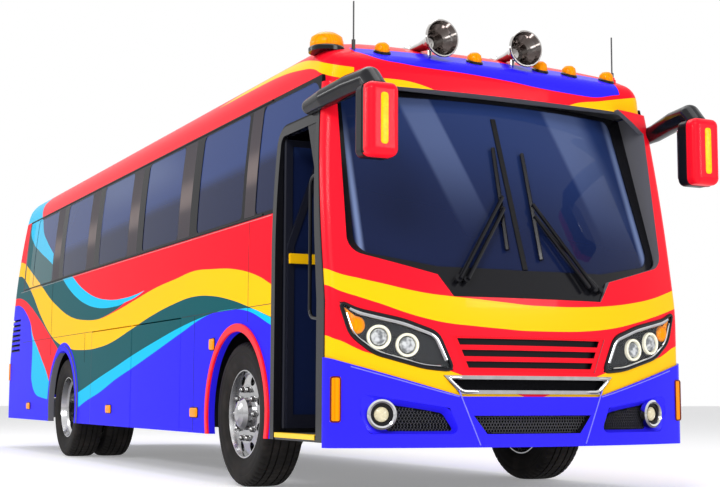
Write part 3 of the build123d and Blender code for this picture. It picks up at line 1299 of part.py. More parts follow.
# ---- lamps along the roof and sides ----
def marker_lamps():
    """The amber lamps: roof domes and beacon, front corners, and rectangles along the sides."""
    domes = [dome(x, 480 + x * x * 6e-5, 48, 62) for x in (-765, -125, 375, 610, 930)]
    lamps = domes + [dome(-BEACON_X, BEACON_S, BEACON_R, 92)]
    x0, x1, low, high = CORNER_LAMP
    corner = block(x0, x1, -FAR, DOOR_FRONT, low, high)
    lamps += both((envelope(-LAMP_OUT) - envelope(-SEAM)) & corner)
    wall, out = HALF_WIDTH - SKIN, HALF_WIDTH - 3
    for s in SIDE_LAMPS:
        lamps += both(block(wall, out, s - 55, s + 55, 455, 500))
    lamps += both(block(wall, out, 2160, 2220, 925, 985))
    lamps += both(block(wall, out, 9120, 9150, 760, 950))
    return lamps


save("marker_lamps", marker_lamps())

# ---- mirrors ----
MIRROR_S = -MIRROR_REACH + MIRROR_D / 2
HEAD_TOP = MIRROR_Z + MIRROR_H / 2


def mirror_arm():
    """The left mirror's arm: a thick, tapering bar from the corner post to the head."""
    knots = list(ARM_KNOTS) + [(MIRROR_X, MIRROR_S, HEAD_TOP - 30, ARM_R)]
    arm = None
    for i, (x, s, z, r) in enumerate(knots):
        ball = Pos(x, station(s), z) * Sphere(r)
        arm = ball if arm is None else arm + ball
        if i:
            before = knots[i - 1]
            start = Vector(before[0], station(before[1]), before[2])
            run = Vector(x, station(s), z) - start
            arm = arm + Solid.make_cone(before[3], r, run.length, Plane(origin=start, z_dir=run))
    return arm - envelope(SKIN) - CAP


arm = mirror_arm()
save("mirror_arms", both(arm))
head = Pos(MIRROR_X, station(MIRROR_S), MIRROR_Z) * Box(MIRROR_W, MIRROR_D, MIRROR_H)
save("mirror_heads", both(fillet(head.edges(), MIRROR_R) - arm))


# ---- wipers ----
def on_screen(x, z, out):
    """The point at a distance in front of the windshield's surface."""
    rake = tan(radians(SCREEN_RAKE))
    s = SCREEN_S + (z - SCREEN_Z) * rake + x ** 2 / (2 * SCREEN_PLAN_R)
    normal = Vector(x / SCREEN_PLAN_R, -1, rake).normalized() * out
    return (x + normal.X, s + normal.Y, z + normal.Z)


def wiper(pivot, low, high):
    """A blade on two parallel arms, each on its own pivot; places are (x, z) on the windshield."""
    whole = rod(on_screen(*low, WIPER_OUT / 2), on_screen(*high, WIPER_OUT / 2), 9)
    for step, along, r in ((0.0, 0.49, 24), (WIPER_STEP, 0.38, 18)):
        foot = (pivot[0] + step, pivot[1] - step * 0.15)
        join = (low[0] + (high[0] - low[0]) * along, low[1] + (high[1] - low[1]) * along)
        whole = whole + rod(on_screen(*foot, SURROUND_PROUD + 0.4), on_screen(*foot, WIPER_OUT + 10), r)
        whole = whole + rod(on_screen(*foot, WIPER_OUT), on_screen(*join, WIPER_OUT), 7)
        whole = whole + rod(on_screen(*join, WIPER_OUT + 10), on_screen(*join, WIPER_OUT / 2), 10)
    return whole


save("wipers", [wiper((-476, 1277), (-107, 1477), (-70, 2140)), wiper((471, 1252), (125, 1425), (140, 2120))])
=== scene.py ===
"""Looks of the party bus: paint with its livery, glass, chrome, tyres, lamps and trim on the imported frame."""
import math
import bmesh
import bpy
from mathutils import Matrix, Vector
from mathutils.bvhtree import BVHTree


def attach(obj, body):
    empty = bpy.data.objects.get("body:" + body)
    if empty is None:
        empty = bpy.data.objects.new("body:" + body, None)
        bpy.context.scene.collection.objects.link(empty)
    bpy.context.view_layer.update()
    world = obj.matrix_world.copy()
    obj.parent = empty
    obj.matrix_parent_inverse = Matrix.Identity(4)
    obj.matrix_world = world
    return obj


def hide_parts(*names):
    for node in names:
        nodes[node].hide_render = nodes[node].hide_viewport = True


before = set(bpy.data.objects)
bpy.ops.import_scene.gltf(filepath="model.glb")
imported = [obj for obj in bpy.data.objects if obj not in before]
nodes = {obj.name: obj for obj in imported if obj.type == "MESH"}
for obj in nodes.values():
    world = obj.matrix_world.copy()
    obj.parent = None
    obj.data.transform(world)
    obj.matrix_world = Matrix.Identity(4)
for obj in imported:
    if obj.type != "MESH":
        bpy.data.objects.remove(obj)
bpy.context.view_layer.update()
scene = bpy.context.scene


# ---- camera ----
# A long lens stands low, ahead of the door side, and looks past the front corner along the bus.
# Its angles are in radians, and its place in metres from the middle of the bus on the ground.
camera_data = bpy.data.cameras.new("camera")
camera_data.lens = 68.15
camera_data.clip_end = 200.0
camera = bpy.data.objects.new("camera", camera_data)
scene.collection.objects.link(camera)
yaw, pitch, roll = -0.4474, 0.1111, 0.0041
look = Vector((-math.sin(yaw) * math.cos(pitch), math.cos(yaw) * math.cos(pitch), math.sin(pitch)))
turn = look.to_track_quat("-Z", "Y").to_matrix() @ Matrix.Rotation(roll, 3, "Z")
stand = (-4.456, -11.447, 0.603)
camera.matrix_world = Matrix.Translation(stand) @ turn.to_4x4()
scene.camera = camera


# ---- floor, background and studio lights ----
# A pale floor on a white ground, with large soft lamps ahead, on the door side and above.
# Chrome and glass see the same white ground as the camera, and the panels get half of it.
def area_light(name, place, aim, size, power):
    """A soft rectangular light that faces a point."""
    data = bpy.data.lights.new(name, "AREA")
    data.shape = "RECTANGLE"
    data.size, data.size_y = size
    data.energy = power
    light = bpy.data.objects.new(name, data)
    light.location = place
    light.rotation_euler = (Vector(aim) - Vector(place)).to_track_quat("-Z", "Y").to_euler()
    scene.collection.objects.link(light)


area_light("key", (-8.0, -12.0, 8.0), (0.0, -2.0, 1.4), (5.0, 3.0), 760.0)
area_light("side_strip", (-12.0, 2.0, 5.5), (-1.2, 1.0, 1.6), (14.0, 1.2), 520.0)
area_light("front_fill", (5.0, -14.0, 4.0), (0.0, -4.5, 1.5), (5.0, 2.0), 340.0)
area_light("top", (0.0, 0.0, 10.0), (0.0, 0.0, 2.0), (5.0, 12.0), 500.0)


class Value:
    """An output in a shader or geometry tree; arithmetic on it adds nodes to the tree."""

    def __init__(self, tree, out):
        self.tree, self.out = tree, out

    def node(self, kind, inputs=(), output=0, **settings):
        """Any node of the tree, with its settings and inputs; returns one of its outputs."""
        made = self.tree.nodes.new(kind)
        for key, setting in settings.items():
            setattr(made, key, setting)
        pairs = inputs.items() if isinstance(inputs, dict) else enumerate(inputs)
        for key, value in pairs:
            if isinstance(value, Value):
                self.tree.links.new(value.out, made.inputs[key])
            else:
                made.inputs[key].default_value = value
        return Value(self.tree, made.outputs[output])

    def maths(self, operation, *others):
        return self.node("ShaderNodeMath", (self, *others), operation=operation)

    def __add__(self, other):
        return self.maths("ADD", other)

    def __sub__(self, other):
        return self.maths("SUBTRACT", other)

    def __rsub__(self, other):
        return self.node("ShaderNodeMath", (other, self), operation="SUBTRACT")

    def __mul__(self, other):
        return self.maths("MULTIPLY", other)

    __radd__, __rmul__ = __add__, __mul__

    def __gt__(self, other):
        return self.maths("GREATER_THAN", other)

    def __lt__(self, other):
        return self.maths("LESS_THAN", other)

    def __and__(self, other):
        """Masks that both hold."""
        return self.maths("MULTIPLY", other)

    def __or__(self, other):
        """Masks of which one or both hold."""
        return self.maths("MAXIMUM", other)

    def __abs__(self):
        return self.maths("ABSOLUTE")

    def rise(self, low, high):
        """0 below low, 1 above high, and a smooth step between them."""
        inputs = {"Value": self, "From Min": low, "From Max": high}
        return self.node("ShaderNodeMapRange", inputs, interpolation_type="SMOOTHSTEP")

    def curve(self, *points):
        """A smooth line through (input, output) points."""
        made = self.tree.nodes.new("ShaderNodeFloatCurve")
        made.mapping.use_clip = False
        line = made.mapping.curves[0]
        while len(line.points) < len(points):
            line.points.new(0.0, 0.0)
        for point, place in zip(line.points, sorted(points)):
            point.location = place
            point.handle_type = "AUTO_CLAMPED"
        made.mapping.update()
        self.tree.links.new(self.out, made.inputs["Value"])
        return Value(self.tree, made.outputs[0])

    def over(self, colour, mask):
        """This colour with another painted over it where the mask is 1."""
        rgba = colour if isinstance(colour, Value) else (*colour, 1.0)
        return self.node("ShaderNodeMix", {0: mask, 6: self, 7: rgba}, 2, data_type="RGBA")

    def flat(self, colour):
        """A plain colour to paint over."""
        made = self.node("ShaderNodeRGB")
        made.out.default_value = (*colour, 1.0)
        return made

    def noise(self, scale, detail=3.0):
        """Grain on this place, from 0 to 1."""
        return self.node("ShaderNodeTexNoise", {"Vector": self, "Scale": scale, "Detail": detail})

    def into(self, shader, socket):
        self.tree.links.new(self.out, shader.inputs[socket])


world = bpy.data.worlds.new("studio")
scene.world = world
world.use_nodes = True
back = world.node_tree.nodes["Background"]
back.inputs["Color"].default_value = (1.0, 1.0, 1.0, 1.0)
rays = world.node_tree.nodes.new("ShaderNodeLightPath")
seen = Value(world.node_tree, rays.outputs["Is Camera Ray"])
mirrored = Value(world.node_tree, rays.outputs["Is Glossy Ray"])
passed = Value(world.node_tree, rays.outputs["Is Transmission Ray"])
(0.5 + (seen | (mirrored | passed)) * 0.5).into(back, "Strength")
scene.view_settings.view_transform = "Standard"

floor_mesh = bpy.data.meshes.new("floor")
FLOOR_HALF = 60
corners = [(a * FLOOR_HALF, b * FLOOR_HALF, 0) for a, b in ((-1, -1), (1, -1), (1, 1), (-1, 1))]
floor_mesh.from_pydata(corners, [], [(0, 1, 2, 3)])
floor = bpy.data.objects.new("floor", floor_mesh)
scene.collection.objects.link(floor)


# ---- side walls, rear wall and flaps ----
# Steel side and rear walls, with flaps hung on barrel hinges over the lockers and the engine.
# The livery is sprayed over masks in glossy lacquer; faces that look into the cabin have a grey lining.
RED = (0.93, 0.0065, 0.022)
YELLOW = (0.97, 0.53, 0.003)
BLUE = (0.026, 0.017, 0.90)
CYAN = (0.0, 0.50, 0.80)
TEAL = (0.001, 0.085, 0.10)
BLACK = (0.006, 0.006, 0.008)
LINING = (0.16, 0.16, 0.18)
AXLE_HEIGHT = 0.479
FRONT_AXLE, REAR_AXLE = -2.87, 1.993


def material(name, colour=(0.8, 0.8, 0.8), rough=0.5, metal=0.0, coat=0.0, alpha=1.0, glow=0.0, gloss=0.5):
    """A principled material; gives it, its shader, the surface's place and its three axes."""
    made = bpy.data.materials.new(name)
    made.use_nodes = True
    shader = made.node_tree.nodes["Principled BSDF"]
    shader.inputs["Base Color"].default_value = (*colour, 1.0)
    shader.inputs["Roughness"].default_value = rough
    shader.inputs["Metallic"].default_value = metal
    shader.inputs["Specular IOR Level"].default_value = gloss
    shader.inputs["Coat Weight"].default_value = coat
    shader.inputs["Coat Roughness"].default_value = 0.03
    shader.inputs["Coat IOR"].default_value = 1.4
    shader.inputs["Alpha"].default_value = alpha
    shader.inputs["Emission Color"].default_value = (*colour, 1.0)
    shader.inputs["Emission Strength"].default_value = glow
    coordinates = made.node_tree.nodes.new("ShaderNodeTexCoord")
    place = Value(made.node_tree, coordinates.outputs["Object"])
    axes = [place.node("ShaderNodeSeparateXYZ", (place,), i) for i in range(3)]
    return made, shader, place, axes


def bump(shader, height, strength, distance=0.002):
    """Roughens a shader's surface by a height value."""
    inputs = {"Height": height, "Strength": strength, "Distance": distance}
    height.node("ShaderNodeBump", inputs).into(shader, "Normal")


def dress(found, *names):
    """Puts a material on CAD nodes."""
    for name in names:
        slots = nodes[name].data.materials
        slots.clear()
        slots.append(found)


def gloss_paint(name, colour=RED, rough=0.3, coat=0.1, gloss=0.08):
    """Glossy clear-coated paint with a faint orange peel."""
    made, shader, place, axes = material(name, colour, rough, coat=coat, gloss=gloss)
    bump(shader, place.noise(60.0), 0.03, 0.0008)
    return made, shader, place, axes


def lined(place, colour):
    """The colour outside, and grey lining on the faces that look into the cabin."""
    normal = place.node("ShaderNodeNewGeometry", (), 3)
    reach = place.node("ShaderNodeVectorMath", (place, (0.0, 0.0, 1.5)), operation="SUBTRACT")
    outward = reach.node("ShaderNodeVectorMath", (reach, normal), 1, operation="DOT_PRODUCT")
    return colour.over(LINING, outward < 0.0)


def hook_line(y):
    """Top edge of the cyan hook, which runs on over the last window."""
    return y.curve(
        (-0.75, 1.447), (-0.48, 1.429), (-0.18, 1.42), (0.13, 1.422), (0.45, 1.442), (0.80, 1.484),
        (1.11, 1.547), (1.44, 1.64), (1.68, 1.727), (2.1, 1.87), (2.57, 2.022), (2.79, 2.113),
        (3.04, 2.226), (3.28, 2.359), (3.38, 2.48), (3.46, 2.58), (3.5, 2.95))


def side_colour(y, z):
    """Colour of the right and left sides, from place along the bus and height."""
    yellow_top = y.curve(
        (-3.43, 1.313), (-3.27, 1.362), (-2.87, 1.44), (-2.29, 1.49), (-1.98, 1.504), (-1.53, 1.478),
        (-1.02, 1.445), (-0.48, 1.387), (0.12, 1.323), (0.78, 1.28), (1.17, 1.294), (1.58, 1.33),
        (1.92, 1.388), (2.29, 1.482), (2.68, 1.599), (2.99, 1.715), (3.39, 1.851), (3.76, 1.981),
        (4.06, 2.072), (4.3, 2.1), (4.9, 2.1))
    yellow_low = y.curve(
        (-3.43, 1.103), (-3.15, 1.164), (-2.74, 1.245), (-2.3, 1.301), (-1.95, 1.316), (-1.53, 1.293),
        (-0.95, 1.232), (-0.35, 1.143), (0.31, 1.049), (0.64, 1.026), (0.99, 1.015), (1.36, 1.021),
        (1.68, 1.038), (2.31, 1.131), (2.62, 1.227), (2.9, 1.351), (3.16, 1.487), (3.43, 1.646),
        (3.72, 1.784), (3.98, 1.886), (4.18, 1.935), (4.9, 1.95))
    cyan_top = y.curve(
        (-3.43, 1.100), (-3.15, 1.162), (-2.95, 1.176), (-2.57, 1.181), (-2.24, 1.162), (-1.67, 1.106),
        (-1.14, 1.035), (-0.37, 0.92), (0.08, 0.843), (0.61, 0.756), (1.10, 0.669), (1.5, 0.60))
    cyan_low = y.curve(
        (-3.44, 1.052), (-3.15, 1.135), (-3.03, 1.157), (-2.9, 1.172), (-2.57, 1.178), (-2.24, 1.160),
        (-1.67, 1.059), (-1.15, 0.96), (-0.38, 0.816), (0.07, 0.736), (0.60, 0.623), (1.09, 0.539),
        (1.5, 0.45))
    hook_top = hook_line(y)
    hook_low = y.curve(
        (-0.75, 1.449), (-0.48, 1.408), (-0.19, 1.384), (0.12, 1.364), (0.45, 1.367), (0.79, 1.39),
        (1.15, 1.441), (1.48, 1.516), (1.83, 1.627), (2.09, 1.731), (2.55, 1.909), (2.9, 2.017),
        (3.36, 2.149), (3.70, 2.273), (3.93, 2.429), (3.96, 2.6))
    teal_end = y.curve(
        (-0.12, 1.376), (0.02, 1.349), (0.22, 1.322), (0.44, 1.299), (0.66, 1.281), (0.8, 1.27))
    stripe_top = y.curve(
        (2.6, 1.20), (2.89, 1.316), (3.27, 1.457), (3.63, 1.576), (3.99, 1.66), (4.37, 1.69), (4.9, 1.69))
    stripe_low = y.curve(
        (2.6, 0.74), (2.73, 0.837), (2.96, 0.97), (3.18, 1.099), (3.44, 1.25), (3.54, 1.362), (3.78, 1.493),
        (4.06, 1.582), (4.34, 1.608), (4.9, 1.608))
    drop = z.curve(
        (0.53, 2.0), (0.572, 2.95), (0.60, 3.18), (0.659, 3.319), (0.72, 3.39), (0.80, 3.435),
        (0.945, 3.425), (1.124, 3.417), (1.252, 3.485), (1.4, 3.55))
    rear = y > 1.5
    ahead = y < 1.5
    colour = z.flat(RED)
    colour = colour.over(TEAL, (z < hook_low) & (y > -0.12) & (z > teal_end))
    colour = colour.over(TEAL, (z < hook_low) & (y > 0.7))
    colour = colour.over(CYAN, (z < hook_top) & (z > hook_low) & (y > -0.72))
    colour = colour.over(YELLOW, z < yellow_top)
    colour = colour.over(TEAL, (z < yellow_low) & (ahead | (z > stripe_top)))
    colour = colour.over(CYAN, (z < cyan_top) & ahead)
    colour = colour.over(BLUE, (z < cyan_low) & ahead)
    colour = colour.over(RED, (z < yellow_low) & (z < stripe_top) & rear)
    colour = colour.over(BLUE, (z < stripe_low) & (y > 2.5))
    colour = colour.over(CYAN, (z < stripe_low) & (y < drop) & (y > 2.5))
    colour = colour.over(RED, (z > yellow_top) & (y > 3.96))
    above = (z - AXLE_HEIGHT).maths("MAXIMUM", 0.0)
    arch = ((y - REAR_AXLE) * (y - REAR_AXLE) + above * above).maths("SQRT")
    return colour.over(BLUE, (arch < 0.632) & (z < 1.15))


paint_side, shader, place, (_, y, z) = gloss_paint("paint_side", coat=0.02, gloss=0.01)
lined(place, side_colour(y, z)).into(shader, "Base Color")
dress(paint_side, "side_wall_left", "side_wall_right", "rear_wall")
paint_flap, shader, place, (_, y, z) = gloss_paint("paint_flap", coat=0.02, gloss=0.01)
side_colour(y, z).into(shader, "Base Color")
dress(paint_flap, "engine_door", "luggage_flap_left_front", "luggage_flap_left_rear",
      "luggage_flap_right_front", "luggage_flap_right_rear")


# ---- fascia and grille ----
# The nose is one moulded fibreglass panel with an even curve across the bus, and a slotted grille is
# let into it. The grille's face is red, and more than 12 mm behind the nose's face its slots are painted black
# as shade.
NOSE_R = 3.7
NOSE_FRONT = -4.56


def front_colour(x, z):
    """Colour of the fascia below the windshield."""
    band_top = x.curve(
        (-1.25, 1.334), (-1.19, 1.306), (-1.06, 1.274), (-0.94, 1.248), (-0.81, 1.219), (-0.68, 1.196),
        (-0.54, 1.182), (-0.4, 1.171), (-0.2, 1.155), (0.0, 1.141), (0.19, 1.14), (0.40, 1.146),
        (0.63, 1.164), (0.81, 1.189), (0.99, 1.224), (1.15, 1.269), (1.25, 1.30))
    band_low = x.curve(
        (-1.25, 1.238), (-1.19, 1.206), (-1.07, 1.166), (-0.94, 1.125), (-0.82, 1.084), (-0.68, 1.047),
        (-0.55, 1.024), (-0.41, 1.012), (-0.24, 1.0), (-0.02, 0.989), (0.18, 0.99), (0.39, 0.998),
        (0.62, 1.023), (0.80, 1.059), (0.97, 1.101), (1.16, 1.153), (1.25, 1.18))
    low_band = x.maths("ABSOLUTE").curve(
        (0.4, 0.70), (0.7, 0.79), (1.046, 0.853), (1.105, 0.878), (1.171, 0.911), (1.219, 0.928),
        (1.25, 0.946))
    colour = x.flat(RED).over(YELLOW, (z < band_top) & (z > band_low))
    return colour.over(YELLOW, z < low_band)


paint_front, shader, place, (x, _, z) = gloss_paint("paint_front")
lined(place, front_colour(x, z)).into(shader, "Base Color")
dress(paint_front, "front_fascia")
paint_grille, shader, place, (x, y, _) = gloss_paint("paint_grille")
depth = y - ((x * x * -1 + NOSE_R ** 2).maths("SQRT") * -1 + (NOSE_R + NOSE_FRONT))
# Painted shade: the grille is black where it lies more than 12 mm behind the nose's face, in its slots.
place.flat((0.85, 0.005, 0.018)).over(BLACK, depth > 0.012).into(shader, "Base Color")
dress(paint_grille, "grille")


# ---- roof ----
# A formed steel roof with a moulded fibreglass cap bonded on in front, painted as one.
# Yellow and blue fields mark the cap, and cyan wraps round the rear end.
paint_roof, shader, place, (x, y, z) = gloss_paint("paint_roof", coat=0.05, gloss=0.04)
arc = z.curve((2.45, 3.36), (2.573, 3.46), (2.681, 3.49), (2.73, 3.40), (2.95, 3.2))
streak_top = y.curve(
    (-4.2, 2.56), (-4.08, 2.60), (-3.94, 2.645), (-3.56, 2.723), (-3.2, 2.745), (-2.8, 2.745),
    (-2.1, 2.707))
streak_low = y.curve(
    (-4.2, 2.48), (-4.06, 2.538), (-3.94, 2.59), (-3.68, 2.64), (-3.28, 2.685), (-2.9, 2.697),
    (-2.1, 2.704))
header = x.curve(
    (-0.957, 2.696), (-0.825, 2.648), (-0.684, 2.63), (-0.54, 2.617), (-0.31, 2.608), (-0.07, 2.595),
    (0.09, 2.584), (0.26, 2.569), (0.44, 2.56), (0.69, 2.555), (0.95, 2.60))
wedge = x.curve(
    (-1.0, 2.52), (-0.76, 2.524), (-0.47, 2.478), (-0.3, 2.4), (0.4, 2.4), (0.52, 2.478), (0.8, 2.54),
    (1.1, 2.60))
roof = place.flat(RED).over(YELLOW, (z < streak_top) & (z > streak_low) & (abs(x) > 1.0) & (y < -2.1))
roof = roof.over(BLUE, (z > header) & (y < -3.98) & (abs(x) < 0.957))
roof = roof.over(YELLOW, (z < wedge) & (y < -4.0) & ((x < -0.47) | (x > 0.52)) & (x > -0.95))
roof = roof.over(CYAN, y > arc)
lined(place, roof).into(shader, "Base Color")
dress(paint_roof, "roof_shell", "roof_cap")


# ---- bumpers and arch lips ----
# Moulded fibreglass bumpers, bolted on at the body's lower corners and painted blue.
# Red flexible lips are pressed on round the front arches.
dress(gloss_paint("paint_blue", BLUE)[0], "front_bumper", "rear_bumper")
dress(gloss_paint("paint_red", RED)[0], "arch_lips_front")


# ---- black trim ----
# The windshield's surround, the mirrors' arms and the door's frame in smooth black enamel.
# The wipers' spindles are of steel in the same finish.
gloss_black, shader, place, _ = material("gloss_black", BLACK, 0.2, coat=0.12, gloss=0.16)
(0.16 + place.noise(9.0) * 0.08).into(shader, "Roughness")
dress(gloss_black, "windshield_surround", "mirror_arms", "door_frame", "wipers")


# ---- window bands ----
# Black enamelled panels round the panes, riveted to the pillars from inside.
# A dark satin post parts each pane from the next, with a brown-grey painted highlight across it.
POST_FIRST, POST_PITCH, POST_WIDE = -1.808, 1.38, 0.275


def hook_field(y, z):
    """Where the livery runs on over the last window and the band round it."""
    return (y > 2.66) & (y < 3.93) & (z < hook_line(y))


band, shader, place, (_, y, z) = material("window_band", BLACK, 0.2, coat=0.02, gloss=0.03)
post = (y < -2.96) & (y > -3.15)
for i in range(5):
    front = POST_FIRST + POST_PITCH * i
    post = post | ((y > front) & (y < front + POST_WIDE))
post = post & (z > 1.775) & (z < 2.505)
# Painted highlight: a brown-grey band across the dark posts, brightest 2.08 m up.
post_painted_highlight = z.curve((1.7, 0.0), (1.95, 0.1), (2.08, 1.0), (2.25, 0.15), (2.5, 0.0)) * 0.8
post_with_painted_highlight = place.flat((0.045, 0.038, 0.046)).over((0.17, 0.135, 0.13), post_painted_highlight)
painted = place.flat(BLACK).over(post_with_painted_highlight, post)
painted = painted.over(side_colour(y, z), hook_field(y, z))
lined(place, painted).into(shader, "Base Color")
(0.14 + post * 0.26).into(shader, "Roughness")
dress(band, "window_band_left", "window_band_right")


# ---- glass ----
# Dark blue tinted panes, bonded to the body, the windshield in two layers with a film between.
# Paler slanting bands across the panes' upper part, and their paleness towards the top, are painted
# reflections.
def tinted(name, shade, pale, streak, alpha, gloss, livery=False):
    """Tinted glass with painted reflections: the shade mask paints it paler and the streak mask lays the pale
    colour on, both from 0 to 1.
    """
    made, shader, place, (x, y, z) = material(name, (0.02, 0.035, 0.12), 0.03, alpha=alpha, gloss=gloss)
    # Painted reflections: the tint turns paler by the shade mask, and the pale colour goes over it by the
    # streak mask.
    colour = place.flat((0.007, 0.013, 0.052)).over((0.022, 0.045, 0.16), shade(x, y, z))
    colour = colour.over(pale, streak(x, y, z))
    if livery:
        colour = colour.over(side_colour(y, z), hook_field(y, z) & (abs(x) > 1.0))
    colour.into(shader, "Base Color")
    return made


def side_painted_reflection_fade(x, y, z):
    """A painted reflection: paler towards the top of the side panes."""
    return (z + y * 0.02).rise(2.02, 2.14)


def side_painted_reflection_bands(x, y, z):
    """Painted reflections: slanting bands in the upper part of the side panes."""
    slant = (y * 0.9 - z * 1.9).maths("SINE").rise(0.1, 1.0)
    return slant & z.rise(2.12, 2.42) * 0.5


side_pane = tinted("side_glass", side_painted_reflection_fade, (0.10, 0.135, 0.26), side_painted_reflection_bands, 0.96, 0.04, True)
dress(side_pane, "side_glass", "rear_window", "door_pane_front", "door_pane_rear")


def screen_painted_reflection_fade(x, y, z):
    """A painted reflection: paler towards the windshield's upper left corner."""
    return (z + x * 0.25).rise(1.5, 2.6) * 0.9


def screen_painted_reflections(x, y, z):
    """Two slanting bands of painted reflection on the windshield, and painted highlights along its two side
    edges.
    """
    line = x + (z - 2.4) * 0.34
    narrow = (line - (-0.66)).rise(0.0, 0.04) & (1 - (line - (-0.44)).rise(0.0, 0.03))
    wide = (line - 0.38).rise(0.0, 0.05) & (1 - (line - 0.66).rise(0.0, 0.16))
    fade = z.rise(1.5, 2.3)
    # Painted highlights: bright lines along the windshield's left and right edges.
    edge = 1 - abs(x + 1.0 + (2.4 - z) * 0.02).rise(0.0, 0.03)
    far = 1 - abs(x - 1.0 + (z - 2.0) * 0.06).rise(0.0, 0.05)
    return ((narrow | wide) & fade) * 0.3 | (edge & (1 - z.rise(2.0, 2.4))) * 0.8 | far * 0.7


screen_glass = tinted("screen_glass", screen_painted_reflection_fade, (0.22, 0.29, 0.52), screen_painted_reflections, 0.94, 0.12)
dress(screen_glass, "windshield")

lens, shader, place, _ = material("clear_lens", (0.9, 0.95, 1.0), 0.02, alpha=0.02, gloss=0.02)
(0.02 + place.noise(30.0) * 0.02).into(shader, "Roughness")
dress(lens, "headlamp_lenses")


# ---- window seals, belt and seams ----
# Rubber seals pressed in along the glass, and a brushed belt moulding clipped on below it.
# Dark gaps show where one pressed panel ends and the next begins.
def grained(name, colour, rough, scale, spread=0.08, height=0.1, **more):
    """A finish whose colour and roughness vary with a fine grain."""
    made, shader, place, _ = material(name, colour, rough, **more)
    grain = place.noise(scale)
    light = tuple(min(1.0, c * (1 + 3 * spread) + 0.02 * spread) for c in colour)
    place.flat(colour).over(light, grain.rise(0.35, 0.75)).into(shader, "Base Color")
    (rough - spread / 2 + grain * spread).into(shader, "Roughness")
    if height:
        bump(shader, grain, height, 0.001)
    return made


def piece(name, shape, finish, body="bus", smooth=40.0):
    """A bmesh made into a piece that rides on a body, smooth except over sharp edges."""
    bmesh.ops.remove_doubles(shape, verts=shape.verts, dist=1e-6)
    bmesh.ops.recalc_face_normals(shape, faces=shape.faces)
    mesh = bpy.data.meshes.new(name)
    shape.to_mesh(mesh)
    shape.free()
    mesh.materials.append(finish)
    mesh.shade_smooth()
    mesh.set_sharp_from_angle(angle=math.radians(smooth))
    made = bpy.data.objects.new(name, mesh)
    scene.collection.objects.link(made)
    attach(made, body)
    return made


skins = {}


def cast(node, start, way):
    """Where a ray meets a CAD node's surface, and the surface's normal there."""
    if node not in skins:
        mesh = nodes[node].data
        faces = [tuple(p.vertices) for p in mesh.polygons]
        skins[node] = BVHTree.FromPolygons([v.co for v in mesh.vertices], faces)
    place, normal, _, _ = skins[node].ray_cast(Vector(start), Vector(way))
    return place, normal


def ring_loops(shape, loops, closed=False):
    """Joins loops of equally many points by quads, with caps on the ends of an open row."""
    rows = [[shape.verts.new(p) for p in loop] for loop in loops]
    pairs = list(zip(rows, rows[1:])) + ([(rows[-1], rows[0])] if closed else [])
    for a, b in pairs:
        for i in range(len(a)):
            j = (i + 1) % len(a)
            shape.faces.new((a[i], a[j], b[j], b[i]))
    if not closed:
        shape.faces.new(rows[0][::-1])
        shape.faces.new(rows[-1])


def swept(shape, points, section, up=(0.0, 0.0, 1.0), closed=False):
    """Sweeps a section of (side, up) points along a line."""
    points = [Vector(p) for p in points]
    loops = []
    for i, point in enumerate(points):
        before = points[i - 1] if i or closed else point
        after = points[(i + 1) % len(points)] if i + 1 < len(points) or closed else point
        along = (after - before).normalized()
        side = along.cross(Vector(up)).normalized()
        rise = side.cross(along).normalized()
        loops.append([point + side * a + rise * b for a, b in section])
    ring_loops(shape, loops, closed)


def circle(r, count=8, squeeze=1.0):
    """A round section."""
    turns = [2 * math.pi * i / count for i in range(count)]
    return [(r * math.cos(t), r * squeeze * math.sin(t)) for t in turns]


def place_all(shape, matrix):
    """Moves a bmesh by a matrix."""
    bmesh.ops.transform(shape, matrix=matrix, verts=shape.verts)


def pour(shape, whole):
    """Adds one bmesh to another and frees it."""
    mesh = bpy.data.meshes.new("part")
    shape.to_mesh(mesh)
    shape.free()
    whole.from_mesh(mesh)
    bpy.data.meshes.remove(mesh)


def joined(*shapes):
    """One bmesh of several."""
    whole = bmesh.new()
    for shape in shapes:
        pour(shape, whole)
    return whole


def across(shape):
    """A bmesh and its mirror image on the bus's other side."""
    other = shape.copy()
    place_all(other, Matrix.Scale(-1, 4, (1, 0, 0)))
    return joined(shape, other)


rubber = grained("rubber", (0.008, 0.008, 0.009), 0.55, 80.0, gloss=0.12)
brushed = grained("brushed", (0.42, 0.36, 0.36), 0.35, 40.0, metal=1.0)


def along_side(z, y0, y1, count=24, node="side_wall_right"):
    """Points on the right side at a height."""
    found = []
    for i in range(count + 1):
        y = y0 + (y1 - y0) * i / count
        place, _ = cast(node, (-2.0, y, z), (1, 0, 0))
        if place and place.x < -1.0:
            found.append(place)
    return found


seal = bmesh.new()
swept(seal, along_side(2.5215, -3.3, 3.95, node="window_band_right"), circle(0.008, 6))
swept(seal, along_side(1.762, -3.3, 3.95, node="window_band_right"), circle(0.007, 6))
piece("window_seals", across(seal), rubber)
belt = bmesh.new()
swept(belt, along_side(1.742, -3.46, 4.1), circle(0.0032, 6, 0.7))
piece("belt_mouldings", across(belt), brushed)

seam_dark = grained("seam", (0.004, 0.004, 0.006), 0.7, 50.0)
seams = bmesh.new()
for y0, low, high in ((-3.07, 1.08, 1.735), (-1.99, 0.345, 1.17), (1.17, 0.9, 1.17), (2.55, 1.0, 1.735)):
    line = []
    for i in range(13):
        place, _ = cast("side_wall_right", (-2.0, y0, low + (high - low) * i / 12), (1, 0, 0))
        if place and place.x < -1.1:
            line.append(place)
    if len(line) > 2:
        swept(seams, line, circle(0.0022, 4), up=(1, 0, 0))
for y0, y1 in ((-3.47, -1.70), (0.95, 3.9)):
    swept(seams, along_side(1.176, y0, y1, 16), circle(0.0022, 4))
piece("panel_seams", across(seams), seam_dark)


